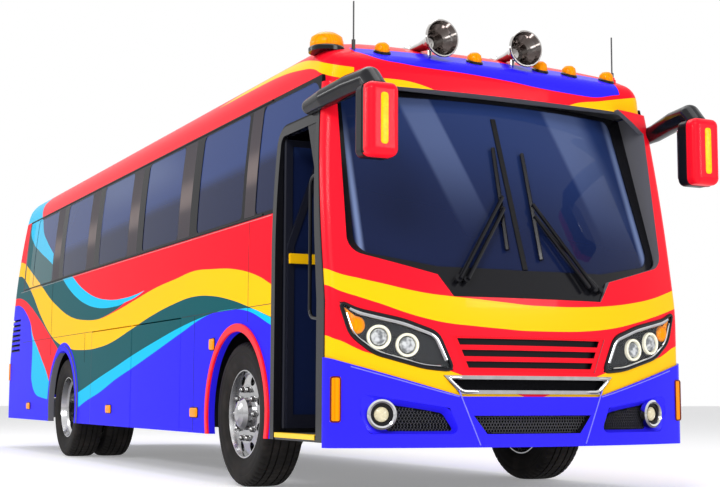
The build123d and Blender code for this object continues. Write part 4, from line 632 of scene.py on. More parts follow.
# ---- marker, side and tail lamps ----
# Moulded lenses over a reflector: amber domes on the roof, amber blocks on the sides, red ones behind.
# The side lamps are screwed on through rubber frames, and one on each side rides on the rear flap.
def lamp_finish(name, colour, deep, glow):
    """Coloured lens plastic with fine vertical prisms, painted darker in stripes along them as their shade, and
    darker at random in places.
    """
    made, shader, place, (x, y, _) = material(name, colour, 0.15, coat=0.06, glow=glow, gloss=0.06)
    prism = (x + y).maths("MULTIPLY", 420.0).maths("SINE").rise(-0.2, 1.0)
    # Painted shade: darker stripes along the prisms, with random darker mottling on top.
    place.flat(colour).over(deep, prism * 0.35 + place.noise(24.0) * 0.12).into(shader, "Base Color")
    bump(shader, prism, 0.25, 0.001)
    return made


amber = lamp_finish("amber", (1.0, 0.32, 0.0), (0.80, 0.11, 0.0), 0.04)


def lamps_where(wanted):
    """The CAD lamps whose faces lie where the test says."""
    shape = bmesh.new()
    shape.from_mesh(nodes["marker_lamps"].data)
    others = [v for v in shape.verts if not wanted(v.co)]
    bmesh.ops.delete(shape, geom=others, context="VERTS")
    return shape


def on_flap(place, side):
    """Whether a place is on the lamp that a rear luggage flap carries."""
    return place.x * side > 1.2 and 0.15 < place.y < 0.42 and place.z < 0.6


on_body = lamps_where(lambda p: not (on_flap(p, 1) or on_flap(p, -1)))
fixed_lamps = piece("marker_lenses", on_body, amber)
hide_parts("marker_lamps")
tail_red = lamp_finish("tail_red", (0.75, 0.004, 0.01), (0.35, 0.0, 0.004), 0.05)
dress(tail_red, "rear_lamps")


def rounded(points, r, count=5):
    """A closed outline with its corners rounded."""
    out = []
    for i, corner in enumerate(points):
        corner = Vector(corner)
        before, after = Vector(points[i - 1]), Vector(points[(i + 1) % len(points)])
        a, b = (before - corner), (after - corner)
        reach = min(r, a.length * 0.45, b.length * 0.45)
        a, b = corner + a.normalized() * reach, corner + b.normalized() * reach
        for k in range(count + 1):
            t = k / count
            out.append(a * (1 - t) ** 2 + corner * 2 * t * (1 - t) + b * t ** 2)
    return out


def side_lamps(places):
    """Frames and lenses on the right side, each at (y, z, half width, half height)."""
    frames, lenses = bmesh.new(), bmesh.new()
    for y0, z0, wide, high in places:
        outline = rounded([(-wide, -high), (wide, -high), (wide, high), (-wide, high)], 0.016, 3)
        edge = [(-1.2515, y0 + a, z0 + b) for a, b in outline]
        swept(frames, edge, circle(0.005, 6), up=(1, 0, 0), closed=True)
        crown = ((-1.2495, 0.99), (-1.2570, 0.97), (-1.2620, 0.88), (-1.2645, 0.70))
        ring_loops(lenses, [[(out, y0 + a * by, z0 + b * by) for a, b in outline] for out, by in crown])
    return frames, lenses


LOW_LAMP = (0.4775, 0.084, 0.034)
fixed_places = ((-2.015, *LOW_LAMP), (3.525, *LOW_LAMP), (-2.385, 0.955, 0.052, 0.040))
frames, lenses = side_lamps(fixed_places)
piece("side_lamp_lenses", across(lenses), amber)
piece("side_lamp_frames", across(frames), rubber)
for side, word in ((-1, "right"), (1, "left")):
    frames, lenses = side_lamps(((0.285, *LOW_LAMP),))
    for shape in (frames, lenses):
        place_all(shape, Matrix.Scale(-side, 4, (1, 0, 0)))
    lenses = joined(lenses, lamps_where(lambda p: on_flap(p, side)))
    piece(f"flap_lamp_lens_{word}", lenses, amber, f"{word}_rear_flap")
    piece(f"flap_lamp_frame_{word}", frames, rubber, f"{word}_rear_flap")


# ---- headlamps ----
# Black moulded bowls let into the nose, with plated strips round them and a clear cover bonded on.
# Each holds two projector lamps in bright rings and a round amber indicator.
def nose(x, z=0.9, back=0.0):
    """The point on the nose at x and z, a distance behind its face."""
    reach = NOSE_R - math.sqrt(NOSE_R ** 2 - x * x)
    return Vector((x, NOSE_FRONT + reach + back, z))


def nose_normal(x):
    """The way out of the nose at x."""
    return Vector((x / NOSE_R, -math.sqrt(1 - (x / NOSE_R) ** 2), 0.0))


def bright_metal(name, low, high, rough, scale=14.0):
    """Plated or polished metal with painted light: painted shade on the faces that look down, a painted
    reflection on those that look up.
    """
    made, shader, place, _ = material(name, high, rough, metal=1.0)
    facing = place.node("ShaderNodeNewGeometry", (), 1)
    up = facing.node("ShaderNodeSeparateXYZ", (facing,), 2)
    grain = place.noise(scale)
    # Painted shade below and a painted reflection above, broken up by the grain.
    place.flat(low).over(high, up.rise(-0.75, 0.8) * (0.7 + grain * 0.6)).into(shader, "Base Color")
    (rough - 0.03 + grain * 0.06).into(shader, "Roughness")
    return made


def turned(shape, profile, centre, axis, count=32, closed=False):
    """Turns a profile of (distance along the axis, radius) round an axis; radius 0 closes to a point."""
    axis = Vector(axis).normalized()
    side = axis.orthogonal().normalized()
    other = axis.cross(side)
    centre = Vector(centre)
    loops = []
    for along, r in profile:
        turns = [2 * math.pi * i / count for i in range(count)]
        rim = [side * math.cos(t) * max(r, 1e-5) + other * math.sin(t) * max(r, 1e-5) for t in turns]
        loops.append([centre + axis * along + p for p in rim])
    ring_loops(shape, loops, closed)


chrome = bright_metal("chrome", (0.10, 0.09, 0.09), (0.86, 0.87, 0.90), 0.08)
HEADLAMP = ((1.187, 1.143), (1.095, 1.095), (0.826, 1.038), (0.622, 0.966), (0.526, 0.750), (0.700, 0.765),
            (0.995, 0.845), (1.127, 0.950))
outline = rounded(HEADLAMP, 0.05, 4)
bezel = bmesh.new()
swept(bezel, [nose(p.x, p.y, -0.001) for p in outline], circle(0.011, 8), up=(0, -1, 0), closed=True)
piece("headlamp_bezels", across(bezel), gloss_black)
strips = bmesh.new()
upper = [(1.165, 1.122), (1.09, 1.075), (0.826, 1.016), (0.637, 0.948), (0.556, 0.772)]
lower = [(0.556, 0.772), (0.704, 0.781), (0.985, 0.858), (1.11, 0.955), (1.165, 1.122)]
for line, corner, section in ((upper, 0.04, circle(0.012, 8, 0.6)), (lower, 0.05, circle(0.005, 6, 0.7))):
    line = rounded(line, corner, 4)[4:-4]
    swept(strips, [nose(p.x, p.y, -0.004) for p in line], section, up=(0, -1, 0))
piece("headlamp_strips", across(strips), chrome)

halo, shader, place, _ = material("halo", (0.86, 0.83, 0.66), 0.3, glow=0.2)
(0.15 + place.noise(60.0) * 0.1).into(shader, "Roughness")
optic, shader, place, _ = material("optic", (0.55, 0.57, 0.58), 0.12, gloss=0.3)
# The projector lenses are mottled grey with painted reflections.
flare = place.noise(34.0, 1.0).rise(0.35, 0.7)
place.flat((0.16, 0.17, 0.18)).over((0.62, 0.64, 0.65), flare).into(shader, "Base Color")
rings, lamps, backs = bmesh.new(), bmesh.new(), bmesh.new()
for x0, z0, r in ((0.962, 0.938, 0.074), (0.798, 0.894, 0.072)):
    centre, out = nose(x0, z0, 0.012), nose_normal(x0)
    ring = ((0.0, 0.72), (0.012, 0.78), (0.015, 0.87), (0.010, 0.95), (-0.012, 0.97), (-0.012, 0.72))
    turned(rings, [(along, r * share) for along, share in ring], centre, out, 40, True)
    bulb = ((-0.02, 0.0), (-0.02, 0.66), (0.004, 0.64), (0.018, 0.45), (0.024, 0.2), (0.025, 0.0))
    turned(lamps, [(along, r * share) for along, share in bulb], centre, out, 32)
    cup = ((-0.05, 0.0), (-0.05, 1.1), (-0.004, 1.14), (-0.004, 1.04), (-0.022, 0.9), (-0.022, 0.0))
    turned(backs, [(along, r * share) for along, share in cup], centre, out, 32)
piece("headlamp_halos", across(rings), halo)
piece("headlamp_optics", across(lamps), optic)
bowl_black = grained("bowl_black", (0.004, 0.004, 0.005), 0.5, 30.0, height=0.0, gloss=0.06)
dress(bowl_black, "headlamp_bowls")
piece("headlamp_sockets", across(backs), bowl_black)
blinker = bmesh.new()
turned(blinker, [(-0.03, 0.0), (-0.03, 0.052), (0.0, 0.054), (0.014, 0.045), (0.022, 0.024), (0.024, 0.0)],
       nose(1.088, 1.005, 0.02), nose_normal(1.088), 28)
drop = [Vector((1.128, 1.03)), Vector((1.155, 1.105)), Vector((1.09, 1.052))]
ring_loops(blinker, [[nose(p.x, p.y, 0.02) for p in drop], [nose(p.x, p.y, 0.008) for p in drop]])
piece("indicators", across(blinker), amber)


# ---- corner lamp rims ----
# Dark red moulded rims, pressed on round the upright lamps at the nose's outer corners.
# Each is one closed loop of round section.
lamp_rims = bmesh.new()
outline = rounded([(1.186, 0.455), (1.238, 0.455), (1.238, 0.707), (1.186, 0.707)], 0.014, 4)
swept(lamp_rims, [nose(p.x, p.y, -0.017) for p in outline], circle(0.0055, 6), up=(0, -1, 0), closed=True)
rim_red = grained("rim_red", (0.10, 0.006, 0.004), 0.3, 60.0, gloss=0.2)
piece("corner_lamp_rims", across(lamp_rims), rim_red)


# ---- bumper openings and their mesh ----
# Moulded linings slope in from the bumper's face to flat black backs, and expanded-metal mesh is
# clipped in before them: two outer pockets and an inlet under the grille.
def grown(name, base, build, finish, **sizes):
    """A bmesh made by a geometry tree with named inputs from a base bmesh."""
    tree = bpy.data.node_groups.new(name, "GeometryNodeTree")
    tree.interface.new_socket("Base", in_out="INPUT", socket_type="NodeSocketGeometry")
    tree.interface.new_socket("Geometry", in_out="OUTPUT", socket_type="NodeSocketGeometry")
    sockets = {}
    for key, size in sizes.items():
        kind = "NodeSocketInt" if isinstance(size, int) else "NodeSocketFloat"
        sockets[key] = tree.interface.new_socket(key, in_out="INPUT", socket_type=kind)
    start, end = tree.nodes.new("NodeGroupInput"), tree.nodes.new("NodeGroupOutput")
    given = {key: Value(tree, start.outputs[key]) for key in sizes}
    built = build(Value(tree, start.outputs["Base"]), **given)
    built = built.node("GeometryNodeRealizeInstances", (built,))
    built = built.node("GeometryNodeSetMaterial", {"Geometry": built, "Material": finish})
    tree.links.new(built.out, end.inputs[0])
    bmesh.ops.recalc_face_normals(base, faces=base.faces)
    mesh = bpy.data.meshes.new(name)
    base.to_mesh(mesh)
    base.free()
    holder = bpy.data.objects.new(name + "_grown", mesh)
    scene.collection.objects.link(holder)
    modifier = holder.modifiers.new("grow", "NODES")
    modifier.node_group = tree
    for key, size in sizes.items():
        modifier[sockets[key].identifier] = size
    drawn = bpy.context.evaluated_depsgraph_get()
    result = bpy.data.meshes.new_from_object(holder.evaluated_get(drawn))
    bpy.data.objects.remove(holder)
    shape = bmesh.new()
    shape.from_mesh(result)
    return shape


POCKET = ((0.491, 0.384), (1.026, 0.385), (1.078, 0.500), (1.070, 0.612), (0.557, 0.534))
PATCH = ((0.520, 0.404), (0.900, 0.404), (0.925, 0.500), (0.880, 0.545), (0.585, 0.500))
INLET = ((-0.325, 0.383), (0.325, 0.383), (0.410, 0.490), (-0.410, 0.490))


def bumper_face(x, z, back=0.0):
    """A place on the bumper's face, which stands proud of the nose."""
    return nose(x, z, back - 0.015)


def funnel(outer, inner, r, deep):
    """A lining from an opening's edge back to a smaller outline."""
    shape = bmesh.new()
    front = rounded(outer, r, 6)
    rear = rounded(inner, r * 0.6, 6)
    lead = [bumper_face(p.x, p.y, 0.003) for p in front]
    lip = [bumper_face(p.x * 0.995 + q.x * 0.005, p.y * 0.98 + q.y * 0.02, 0.001)
           for p, q in zip(front, rear)]
    foot = [bumper_face(q.x, q.y, deep) for q in rear]
    rear_foot = [p + Vector((0, 0.004, 0)) for p in foot]
    rear_lead = [p + Vector((0, 0.006, 0)) for p in lead]
    ring_loops(shape, [lead, lip, foot, rear_foot, rear_lead], closed=True)
    return shape


def mesh_patch(base, pitch, wire):
    """A tree that fills a flat outline with a net of six-sided wire rings."""
    low, high = base.node("GeometryNodeBoundBox", (base,), 1), base.node("GeometryNodeBoundBox", (base,), 2)
    size = low.node("ShaderNodeVectorMath", (high, low), operation="SUBTRACT")
    wide = size.node("ShaderNodeSeparateXYZ", (size,), 0)
    tall = size.node("ShaderNodeSeparateXYZ", (size,), 2)
    grid = base.node("GeometryNodeMeshGrid", {
        "Size X": wide, "Size Y": tall,
        "Vertices X": wide.maths("DIVIDE", pitch) + 1.0,
        "Vertices Y": tall.maths("DIVIDE", pitch * 0.87) + 1.0})
    centre = low.node("ShaderNodeVectorMath", (high, low), operation="ADD")
    centre = centre.node("ShaderNodeVectorMath", {0: centre, "Scale": 0.5}, operation="SCALE")
    grid = grid.node("GeometryNodeTransform", {"Geometry": grid, "Rotation": (math.pi / 2, 0.0, 0.0),
                                               "Translation": centre})
    spot = base.node("GeometryNodeInputPosition")
    high_at = spot.node("ShaderNodeSeparateXYZ", (spot,), 2)
    row = high_at.maths("DIVIDE", pitch * 0.87).maths("ROUND").maths("MODULO", 2.0)
    shift = row.node("ShaderNodeCombineXYZ", {"X": row * pitch * 0.5})
    grid = grid.node("GeometryNodeSetPosition", {"Geometry": grid, "Offset": shift})
    ahead = spot.node("ShaderNodeVectorMath", (spot, (0.0, -1.0, 0.0)), operation="ADD")
    hit = base.node("GeometryNodeRaycast", {"Target Geometry": base, "Source Position": ahead,
                                            "Ray Direction": (0.0, 1.0, 0.0), "Ray Length": 2.0})
    where = Value(hit.tree, hit.out.node.outputs["Hit Position"])
    grid = grid.node("GeometryNodeSetPosition", {"Geometry": grid, "Selection": hit, "Position": where})
    missed = hit.node("FunctionNodeBooleanMath", (hit,), operation="NOT")
    grid = grid.node("GeometryNodeDeleteGeometry", {"Geometry": grid, "Selection": missed})
    loop = base.node("GeometryNodeCurvePrimitiveCircle", {"Resolution": 6, "Radius": pitch * 0.5})
    section = base.node("GeometryNodeCurvePrimitiveCircle", {"Resolution": 3, "Radius": wire})
    ring = loop.node("GeometryNodeCurveToMesh", {"Curve": loop, "Profile Curve": section})
    return grid.node("GeometryNodeInstanceOnPoints", {"Points": grid, "Instance": ring,
                                                      "Rotation": (math.pi / 2, 0.0, 0.0)})


def netting(name, outline, deep):
    """Wire mesh over an outline, a distance behind the bumper's face."""
    base = bmesh.new()
    steps = 12
    lows, highs = [], []
    xs = [p[0] for p in outline]
    x0, x1 = min(xs), max(xs)
    for i in range(steps + 1):
        x = x0 + (x1 - x0) * i / steps
        crossing = []
        for (ax, az), (bx, bz) in zip(outline, outline[1:] + outline[:1]):
            if (ax - x) * (bx - x) <= 0 and ax != bx:
                crossing.append(az + (bz - az) * (x - ax) / (bx - ax))
        lows.append(base.verts.new(bumper_face(x, min(crossing), deep)))
        highs.append(base.verts.new(bumper_face(x, max(crossing) + 1e-4, deep)))
    for i in range(steps):
        base.faces.new((lows[i], lows[i + 1], highs[i + 1], highs[i]))
    return grown(name, base, mesh_patch, net_grey, pitch=0.019, wire=0.0021)


lining_blue = gloss_paint("lining_blue", BLUE)[0]
net_back = grained("net_back", (0.003, 0.003, 0.004), 0.9, 90.0, gloss=0.05)
dress(net_back, "grille_backs")
net_grey = grained("net_grey", (0.05, 0.05, 0.055), 0.4, 60.0, gloss=0.3)
piece("pocket_linings", across(funnel(POCKET, PATCH, 0.036, 0.055)), lining_blue)
small = tuple((px * 0.965, 0.4365 + (pz - 0.4365) * 0.86) for px, pz in INLET)
piece("inlet_lining", funnel(INLET, small, 0.02, 0.03), gloss_black)
piece("pocket_mesh", across(netting("pocket_net", list(PATCH), 0.05)), net_grey)
piece("inlet_mesh", netting("inlet_net", list(INLET), 0.03), net_grey)


# ---- fog lamps ----
# A round glass lens in a black cup, held by a plated ring.
# One is screwed into the mouth of each outer pocket.
fog, fog_ring, fog_cup = bmesh.new(), bmesh.new(), bmesh.new()
centre, out = bumper_face(0.952, 0.496, 0.012), nose_normal(0.952)
ring_profile = [(0.0, 0.062), (0.014, 0.066), (0.02, 0.076), (0.012, 0.087), (-0.02, 0.09), (-0.02, 0.062)]
turned(fog_ring, ring_profile, centre, out, 40, True)
cup_profile = [(-0.03, 0.0), (-0.03, 0.064), (0.004, 0.063), (0.004, 0.05), (-0.02, 0.042), (-0.02, 0.0)]
turned(fog_cup, cup_profile, centre, out, 36)
turned(fog, [(-0.022, 0.0), (-0.022, 0.044), (-0.006, 0.043), (0.006, 0.028), (0.009, 0.0)], centre, out, 32)
fog_lens = grained("fog_lens", (0.62, 0.56, 0.38), 0.15, 60.0, gloss=0.3)
piece("fog_lamps", across(fog), fog_lens)
piece("fog_rings", across(fog_ring), chrome)
piece("fog_cups", across(fog_cup), gloss_black)


# ---- bumper creases ----
# Moulded edges where the bumper's faces meet, as fine rounded ridges in blue.
# They are painted a paler blue than the faces, as a painted highlight where light catches them.
painted_highlight_blue = grained("painted_highlight_blue", (0.16, 0.15, 0.95), 0.2, 30.0, coat=0.4)
creases = bmesh.new()
swept(creases, [bumper_face(0.502 - 0.134 * t, 0.637 - 0.317 * t, -0.0005) for t in (0.0, 0.33, 0.66, 1.0)],
      circle(0.004, 6), up=(0, -1, 0))
top_line = [(0.50, 0.612), (0.60, 0.636), (0.72, 0.668), (0.86, 0.706), (1.0, 0.744), (1.13, 0.78)]
swept(creases, [bumper_face(a, b - 0.012, -0.0005) for a, b in top_line], circle(0.004, 6), up=(0, -1, 0))
piece("bumper_creases", across(creases), painted_highlight_blue)


# ---- grille surround ----
# A plated moulding round the mouth under the grille, with a round plated edge.
# It is pressed into the nose and follows its curve.
dress(chrome, "chrome_trim")
ring = bmesh.new()
outline = rounded([(-0.568, 0.709), (0.568, 0.709), (0.479, 0.628), (-0.479, 0.628)], 0.03, 4)
swept(ring, [nose(p.x, p.y, -0.006) for p in outline], circle(0.0125, 10), up=(0, -1, 0), closed=True)
piece("grille_ring", ring, chrome)


# ---- windshield bar ----
# A rubber-faced bar over the joint of the windshield's two halves.
# It is bonded to the glass from the cowl to the surround.
bar_line = []
for i in range(11):
    height = 1.36 + (2.455 - 1.36) * i / 10
    place, normal = cast("windshield", (-0.02 + 0.02 * (2.45 - height), -6.0, height), (0, 1, 0))
    if place:
        bar_line.append(place + normal * 0.003)
bar = bmesh.new()
swept(bar, bar_line, rounded([(-0.017, -0.006), (0.017, -0.006), (0.017, 0.007), (-0.017, 0.007)], 0.005, 3),
      up=(0, -1, 0))
piece("screen_bar", bar, rubber)


# ---- wipers ----
# Long rubber blades in black carriers, which rest upright beside the bar.
# Two steel arms lead to each from its spindle under the glass.
def before_glass(x, z, out):
    """A point in front of the windshield or its surround."""
    place, normal = cast("windshield", (x, -6.0, z), (0, 1, 0))
    if not place:
        place, normal = cast("windshield_surround", (x, -6.0, z), (0, 1, 0))
    return place + Vector((0.0, -1.0, 0.25)).normalized() * out


arms = bmesh.new()
wiper_places = (((-0.476, 1.277), (-0.107, 1.477), (-0.07, 2.14)),
                ((0.471, 1.252), (0.125, 1.425), (0.14, 2.12)))
for pivot, low, high in wiper_places:
    blade = [before_glass(low[0] + (high[0] - low[0]) * t, low[1] + (high[1] - low[1]) * t, 0.018)
             for t in (0.0, 0.2, 0.4, 0.6, 0.8, 1.0)]
    swept(arms, blade, [(-0.006, -0.014), (0.006, -0.014), (0.013, 0.006), (0.0, 0.016), (-0.013, 0.006)],
          up=(0, -1, 0))
    for step, along in ((0.0, 0.49), (0.048, 0.38)):
        foot = before_glass(pivot[0] + step * (1 if pivot[0] < 0 else -1), pivot[1], 0.045)
        join = before_glass(low[0] + (high[0] - low[0]) * along, low[1] + (high[1] - low[1]) * along, 0.045)
        line = [foot + (join - foot) * t for t in (0.0, 0.15, 0.5, 0.85, 1.0)]
        swept(arms, line, circle(0.0125, 8), up=(0, -1, 0))
piece("wiper_arms", arms, gloss_black)


# ---- mirrors ----
# Red lacquered shells with a black rear half, hung from the arms' ends by a pin.
# A yellow reflector is set in each shell's front, and silvered glass in its back.
shell, shader, place, (x, y, _) = gloss_paint("mirror_shell")
place.flat(RED).over(BLACK, (y > -4.735) | (abs(x) > 1.2225) & (y > -4.76)).into(shader, "Base Color")
dress(shell, "mirror_heads")
inset = bmesh.new()
face = rounded([(1.107, 1.985), (1.153, 1.985), (1.153, 2.275), (1.107, 2.275)], 0.02, 5)
loops = [[(p.x, -4.822, p.y) for p in face], [(p.x, -4.8262, p.y) for p in face]]
inner = [Vector((1.13, 2.13)) + (p - Vector((1.13, 2.13))) * 0.93 for p in face]
loops.append([(p.x, -4.8275, p.y) for p in inner])
ring_loops(inset, loops)
yellow_lens = grained("yellow_lens", (0.98, 0.50, 0.0), 0.25, 40.0, gloss=0.15)
piece("mirror_insets", across(inset), yellow_lens)
glass_face = rounded([(1.05, 1.96), (1.21, 1.96), (1.21, 2.3), (1.05, 2.3)], 0.03, 5)
mirror_glass = bmesh.new()
ring_loops(mirror_glass, [[(p.x, -4.626, p.y) for p in glass_face], [(p.x, -4.622, p.y) for p in glass_face]])
piece("mirror_glasses", across(mirror_glass), chrome)
seam_ring = bmesh.new()
around = rounded([(1.03, 1.92), (1.23, 1.92), (1.23, 2.34), (1.03, 2.34)], 0.045, 6)
swept(seam_ring, [(p.x, -4.735, p.y) for p in around], circle(0.003, 5), up=(0, 1, 0), closed=True)
piece("mirror_seams", across(seam_ring), rubber)


# ---- roof fittings ----
# Plated trumpet horns and whip antennas bolted through the cap, one antenna in a red collar.
# The amber domes and the beacon stand on black moulded feet.
horn_metal = bright_metal("horn_metal", (0.12, 0.10, 0.095), (0.80, 0.78, 0.76), 0.1, 6.0)
dress(horn_metal, "air_horns")
whip = grained("whip", (0.01, 0.01, 0.012), 0.35, 60.0)
dress(whip, "antennas")
feet = bmesh.new()
for x0 in (-0.765, -0.125, 0.375, 0.61, 0.93):
    y0 = -4.095 + x0 * x0 * 0.06
    place, normal = cast("roof_cap", (x0, y0, 4.0), (0, 0, -1))
    foot = [(-0.012, 0.0), (-0.012, 0.056), (0.010, 0.055), (0.016, 0.049), (0.016, 0.0)]
    turned(feet, foot, place, normal, 28)
place, _ = cast("roof_cap", (-1.0, -3.93, 4.0), (0, 0, -1))
turned(feet, [(-0.05, 0.0), (-0.05, 0.113), (-0.027, 0.115), (-0.018, 0.108), (-0.018, 0.0)],
       Vector((-1.085, -3.935, place.z - 0.008)), (0, 0, 1), 36)
piece("lamp_feet", feet, gloss_black)
collar = bmesh.new()
place, _ = cast("roof_cap", (1.0, -4.04, 4.0), (0, 0, -1))
turned(collar, [(-0.01, 0.0), (-0.01, 0.026), (0.012, 0.026), (0.02, 0.018), (0.03, 0.018), (0.036, 0.0)],
       Vector((1.0, -4.015, place.z + 0.01)), (0, 0, 1), 24)
piece("antenna_collar", collar, gloss_paint("collar_red", RED)[0])


# ---- rims ----
# Polished alloy wheels with hand holes round a domed hub, on the hubs' studs.
# The rear ones are twins, bolted back to back.
alloy = bright_metal("alloy", (0.10, 0.10, 0.105), (0.68, 0.68, 0.69), 0.18, 18.0)
dress(alloy, "rim_front_left", "rim_front_right", "rims_rear_left", "rims_rear_right")


# ---- tyres and wheel nuts ----
# Black rubber coach tyres with four ribs, cut shoulders and dust in the grooves.
# Ten flanged steel nuts hold each wheel, or each pair of twins, on its studs.
tread, shader, place, _ = material("tread", (0.012, 0.011, 0.010), 0.7, gloss=0.12)
dust = place.noise(7.0, 5.0)
place.flat((0.009, 0.008, 0.0075)).over((0.026, 0.022, 0.020), dust.rise(0.4, 0.8)).into(shader, "Base Color")
(0.6 + dust * 0.25).into(shader, "Roughness")
bump(shader, place.noise(180.0), 0.15, 0.0006)

HALF_TYRE = [
    (0.0, 0.479), (0.024, 0.479), (0.026, 0.467), (0.034, 0.467), (0.036, 0.479), (0.070, 0.478),
    (0.072, 0.466), (0.080, 0.466), (0.082, 0.4775), (0.104, 0.475), (0.116, 0.470), (0.126, 0.461),
    (0.132, 0.450), (0.1355, 0.436), (0.1375, 0.418), (0.1375, 0.414), (0.1355, 0.411), (0.1365, 0.396),
    (0.1350, 0.372), (0.1335, 0.368), (0.1325, 0.352), (0.1280, 0.330), (0.1210, 0.312), (0.1170, 0.306),
    (0.1170, 0.3000), (0.1100, 0.2935), (0.0950, 0.2865)]


def tyre(shape, x0, y0):
    """A ribbed tyre with cut shoulders, turned round the axle at x0 and y0."""
    profile = [(-t, r) for t, r in reversed(HALF_TYRE[1:])] + HALF_TYRE
    count = 240
    loops = []
    for i in range(count):
        turn = 2 * math.pi * i / count
        loop = []
        for t, r in profile:
            if i % 4 == 0 and abs(t) > 0.09 and r > 0.455:
                r -= 0.009
            if i % 4 == 2 and abs(t) < 0.09 and r > 0.475:
                r -= 0.004
            loop.append((x0 + t, y0 + r * math.sin(turn), AXLE_HEIGHT + r * math.cos(turn)))
        loops.append(loop)
    ring_loops(shape, loops, closed=True)


def wheel_ring(base, nuts, radius):
    """A tree that sets copies of a nut on a circle across the axle."""
    points = base.node("GeometryNodeMeshCircle", {"Vertices": nuts, "Radius": radius})
    ring = points.node("GeometryNodeInstanceOnPoints", {"Points": points, "Instance": base})
    return ring.node("GeometryNodeTransform", {"Geometry": ring, "Rotation": (0.0, math.pi / 2, 0.0)})


def wheel_nut():
    """A flanged nut on its stud, along Z."""
    nut = bmesh.new()
    flange = [(-0.004, 0.0), (-0.004, 0.023), (0.002, 0.0225), (0.004, 0.019), (0.004, 0.0)]
    turned(nut, flange, (0, 0, 0), (0, 0, 1), 12)
    head = [(0.003, 0.0), (0.003, 0.0185), (0.022, 0.0185), (0.029, 0.014), (0.034, 0.006), (0.035, 0.0)]
    turned(nut, head, (0, 0, 0), (0, 0, 1), 6)
    return nut


NUTS, STUD_CIRCLE = 10, 0.1675
OUTER_TYRE, INNER_TYRE = 1.08, 0.768
nut_metal = bright_metal("nut_metal", (0.05, 0.05, 0.05), (0.48, 0.48, 0.48), 0.2, 30.0)
for word, side in (("left", 1), ("right", -1)):
    for axle, y0, tyre_xs, nut_x, body in (
            ("front", FRONT_AXLE, (OUTER_TYRE,), 1.172, f"{word}_front_wheel"),
            ("rear", REAR_AXLE, (OUTER_TYRE, INNER_TYRE), 0.935, f"{word}_rear_wheels")):
        rubber_ring = bmesh.new()
        for x0 in tyre_xs:
            tyre(rubber_ring, side * x0, y0)
        name = f"tyre_front_{word}" if axle == "front" else f"tyres_rear_{word}"
        made = piece(f"tread_{axle}_{word}", rubber_ring, tread, body, smooth=35.0)
        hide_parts(name)
        nuts = grown(f"nuts_{axle}_{word}", wheel_nut(), wheel_ring, nut_metal, nuts=NUTS, radius=STUD_CIRCLE)
        start = 0.5 if side < 0 else 0.25
        turn = Matrix.Rotation(-2 * math.pi * start / NUTS, 4, "X")
        flip = Matrix.Rotation(0.0 if side > 0 else math.pi, 4, "Z")
        place_all(nuts, Matrix.Translation((side * nut_x, y0, AXLE_HEIGHT)) @ turn @ flip)
        piece(f"wheel_nuts_{axle}_{word}", nuts, nut_metal, body)


# ---- entry door and steps ----
# Two dark folding panels of pressed sheet, glazed and hinged edge to edge, with a yellow push bar.
# Ribbed yellow nosings are screwed to the edges of the steps.
leaf, shader, place, (_, y, z) = material("door_leaf", (0.012, 0.013, 0.022), 0.25, coat=0.1, gloss=0.2)
bar_mask = (z > 1.4235) & (z < 1.4865) & (y < -3.5885) & (y > -3.7)
place.flat((0.011, 0.012, 0.021)).over(YELLOW, bar_mask).into(shader, "Base Color")
(0.2 + place.noise(12.0) * 0.1).into(shader, "Roughness")
dress(leaf, "door_panel_front", "door_panel_rear")
nosing_yellow = grained("nosing_yellow", (0.95, 0.55, 0.01), 0.5, 220.0, height=0.5)
nosings = bmesh.new()
for x0, z0 in ((-1.2515, 0.372), (-0.8247, 0.6147), (-0.6197, 0.8573), (-0.4147, 1.1)):
    strip = [(0.0, 0.0035), (0.038, 0.0035), (0.038, -0.001), (0.001, -0.001), (0.001, -0.026),
             (-0.0035, -0.026), (-0.0035, 0.001)]
    near, far = (-4.17, -3.56) if z0 < 1.0 else (-4.13, -3.6)
    ring_loops(nosings, [[(x0 + a, y0, z0 + b) for a, b in strip] for y0 in (near, far)])
piece("step_nosings", nosings, nosing_yellow)


# ---- engine vents and door ribs ----
# Pressed black slats, riveted in one above another across the engine's air openings.
# The engine door has a stack of rubber-faced ribs across its middle.
def slat_row(base, slats, pitch):
    """A tree that repeats a slat upwards."""
    step = pitch.node("ShaderNodeCombineXYZ", {"Z": pitch})
    line = base.node("GeometryNodeMeshLine", {"Count": slats, "Offset": step})
    return line.node("GeometryNodeInstanceOnPoints", {"Points": line, "Instance": base})


slat = bmesh.new()
section = rounded([(-0.012, -0.008), (0.014, 0.004), (0.012, 0.010), (-0.014, -0.002)], 0.003, 2)
ring_loops(slat, [[(-1.226 + p.x, y0, 1.092 + p.y) for p in section] for y0 in (4.078, 4.522)])
slats = grown("vent_slats", slat, slat_row, gloss_black, slats=7, pitch=0.056)
piece("engine_vent_slats", across(slats), gloss_black)
ribs = bmesh.new()
place, _ = cast("engine_door", (0.0, 8.0, 0.72), (0, -1, 0))
section = rounded([(-0.004, -0.012), (0.010, -0.006), (0.010, 0.004), (-0.004, 0.012)], 0.003, 2)
ring_loops(ribs, [[(x0, place.y + p.x - 0.004, 0.70 + p.y) for p in section] for x0 in (-0.55, 0.55)])
ribs = grown("rear_ribs", ribs, slat_row, rubber, slats=6, pitch=0.042)
piece("engine_door_ribs", ribs, rubber, "rear_engine_door")


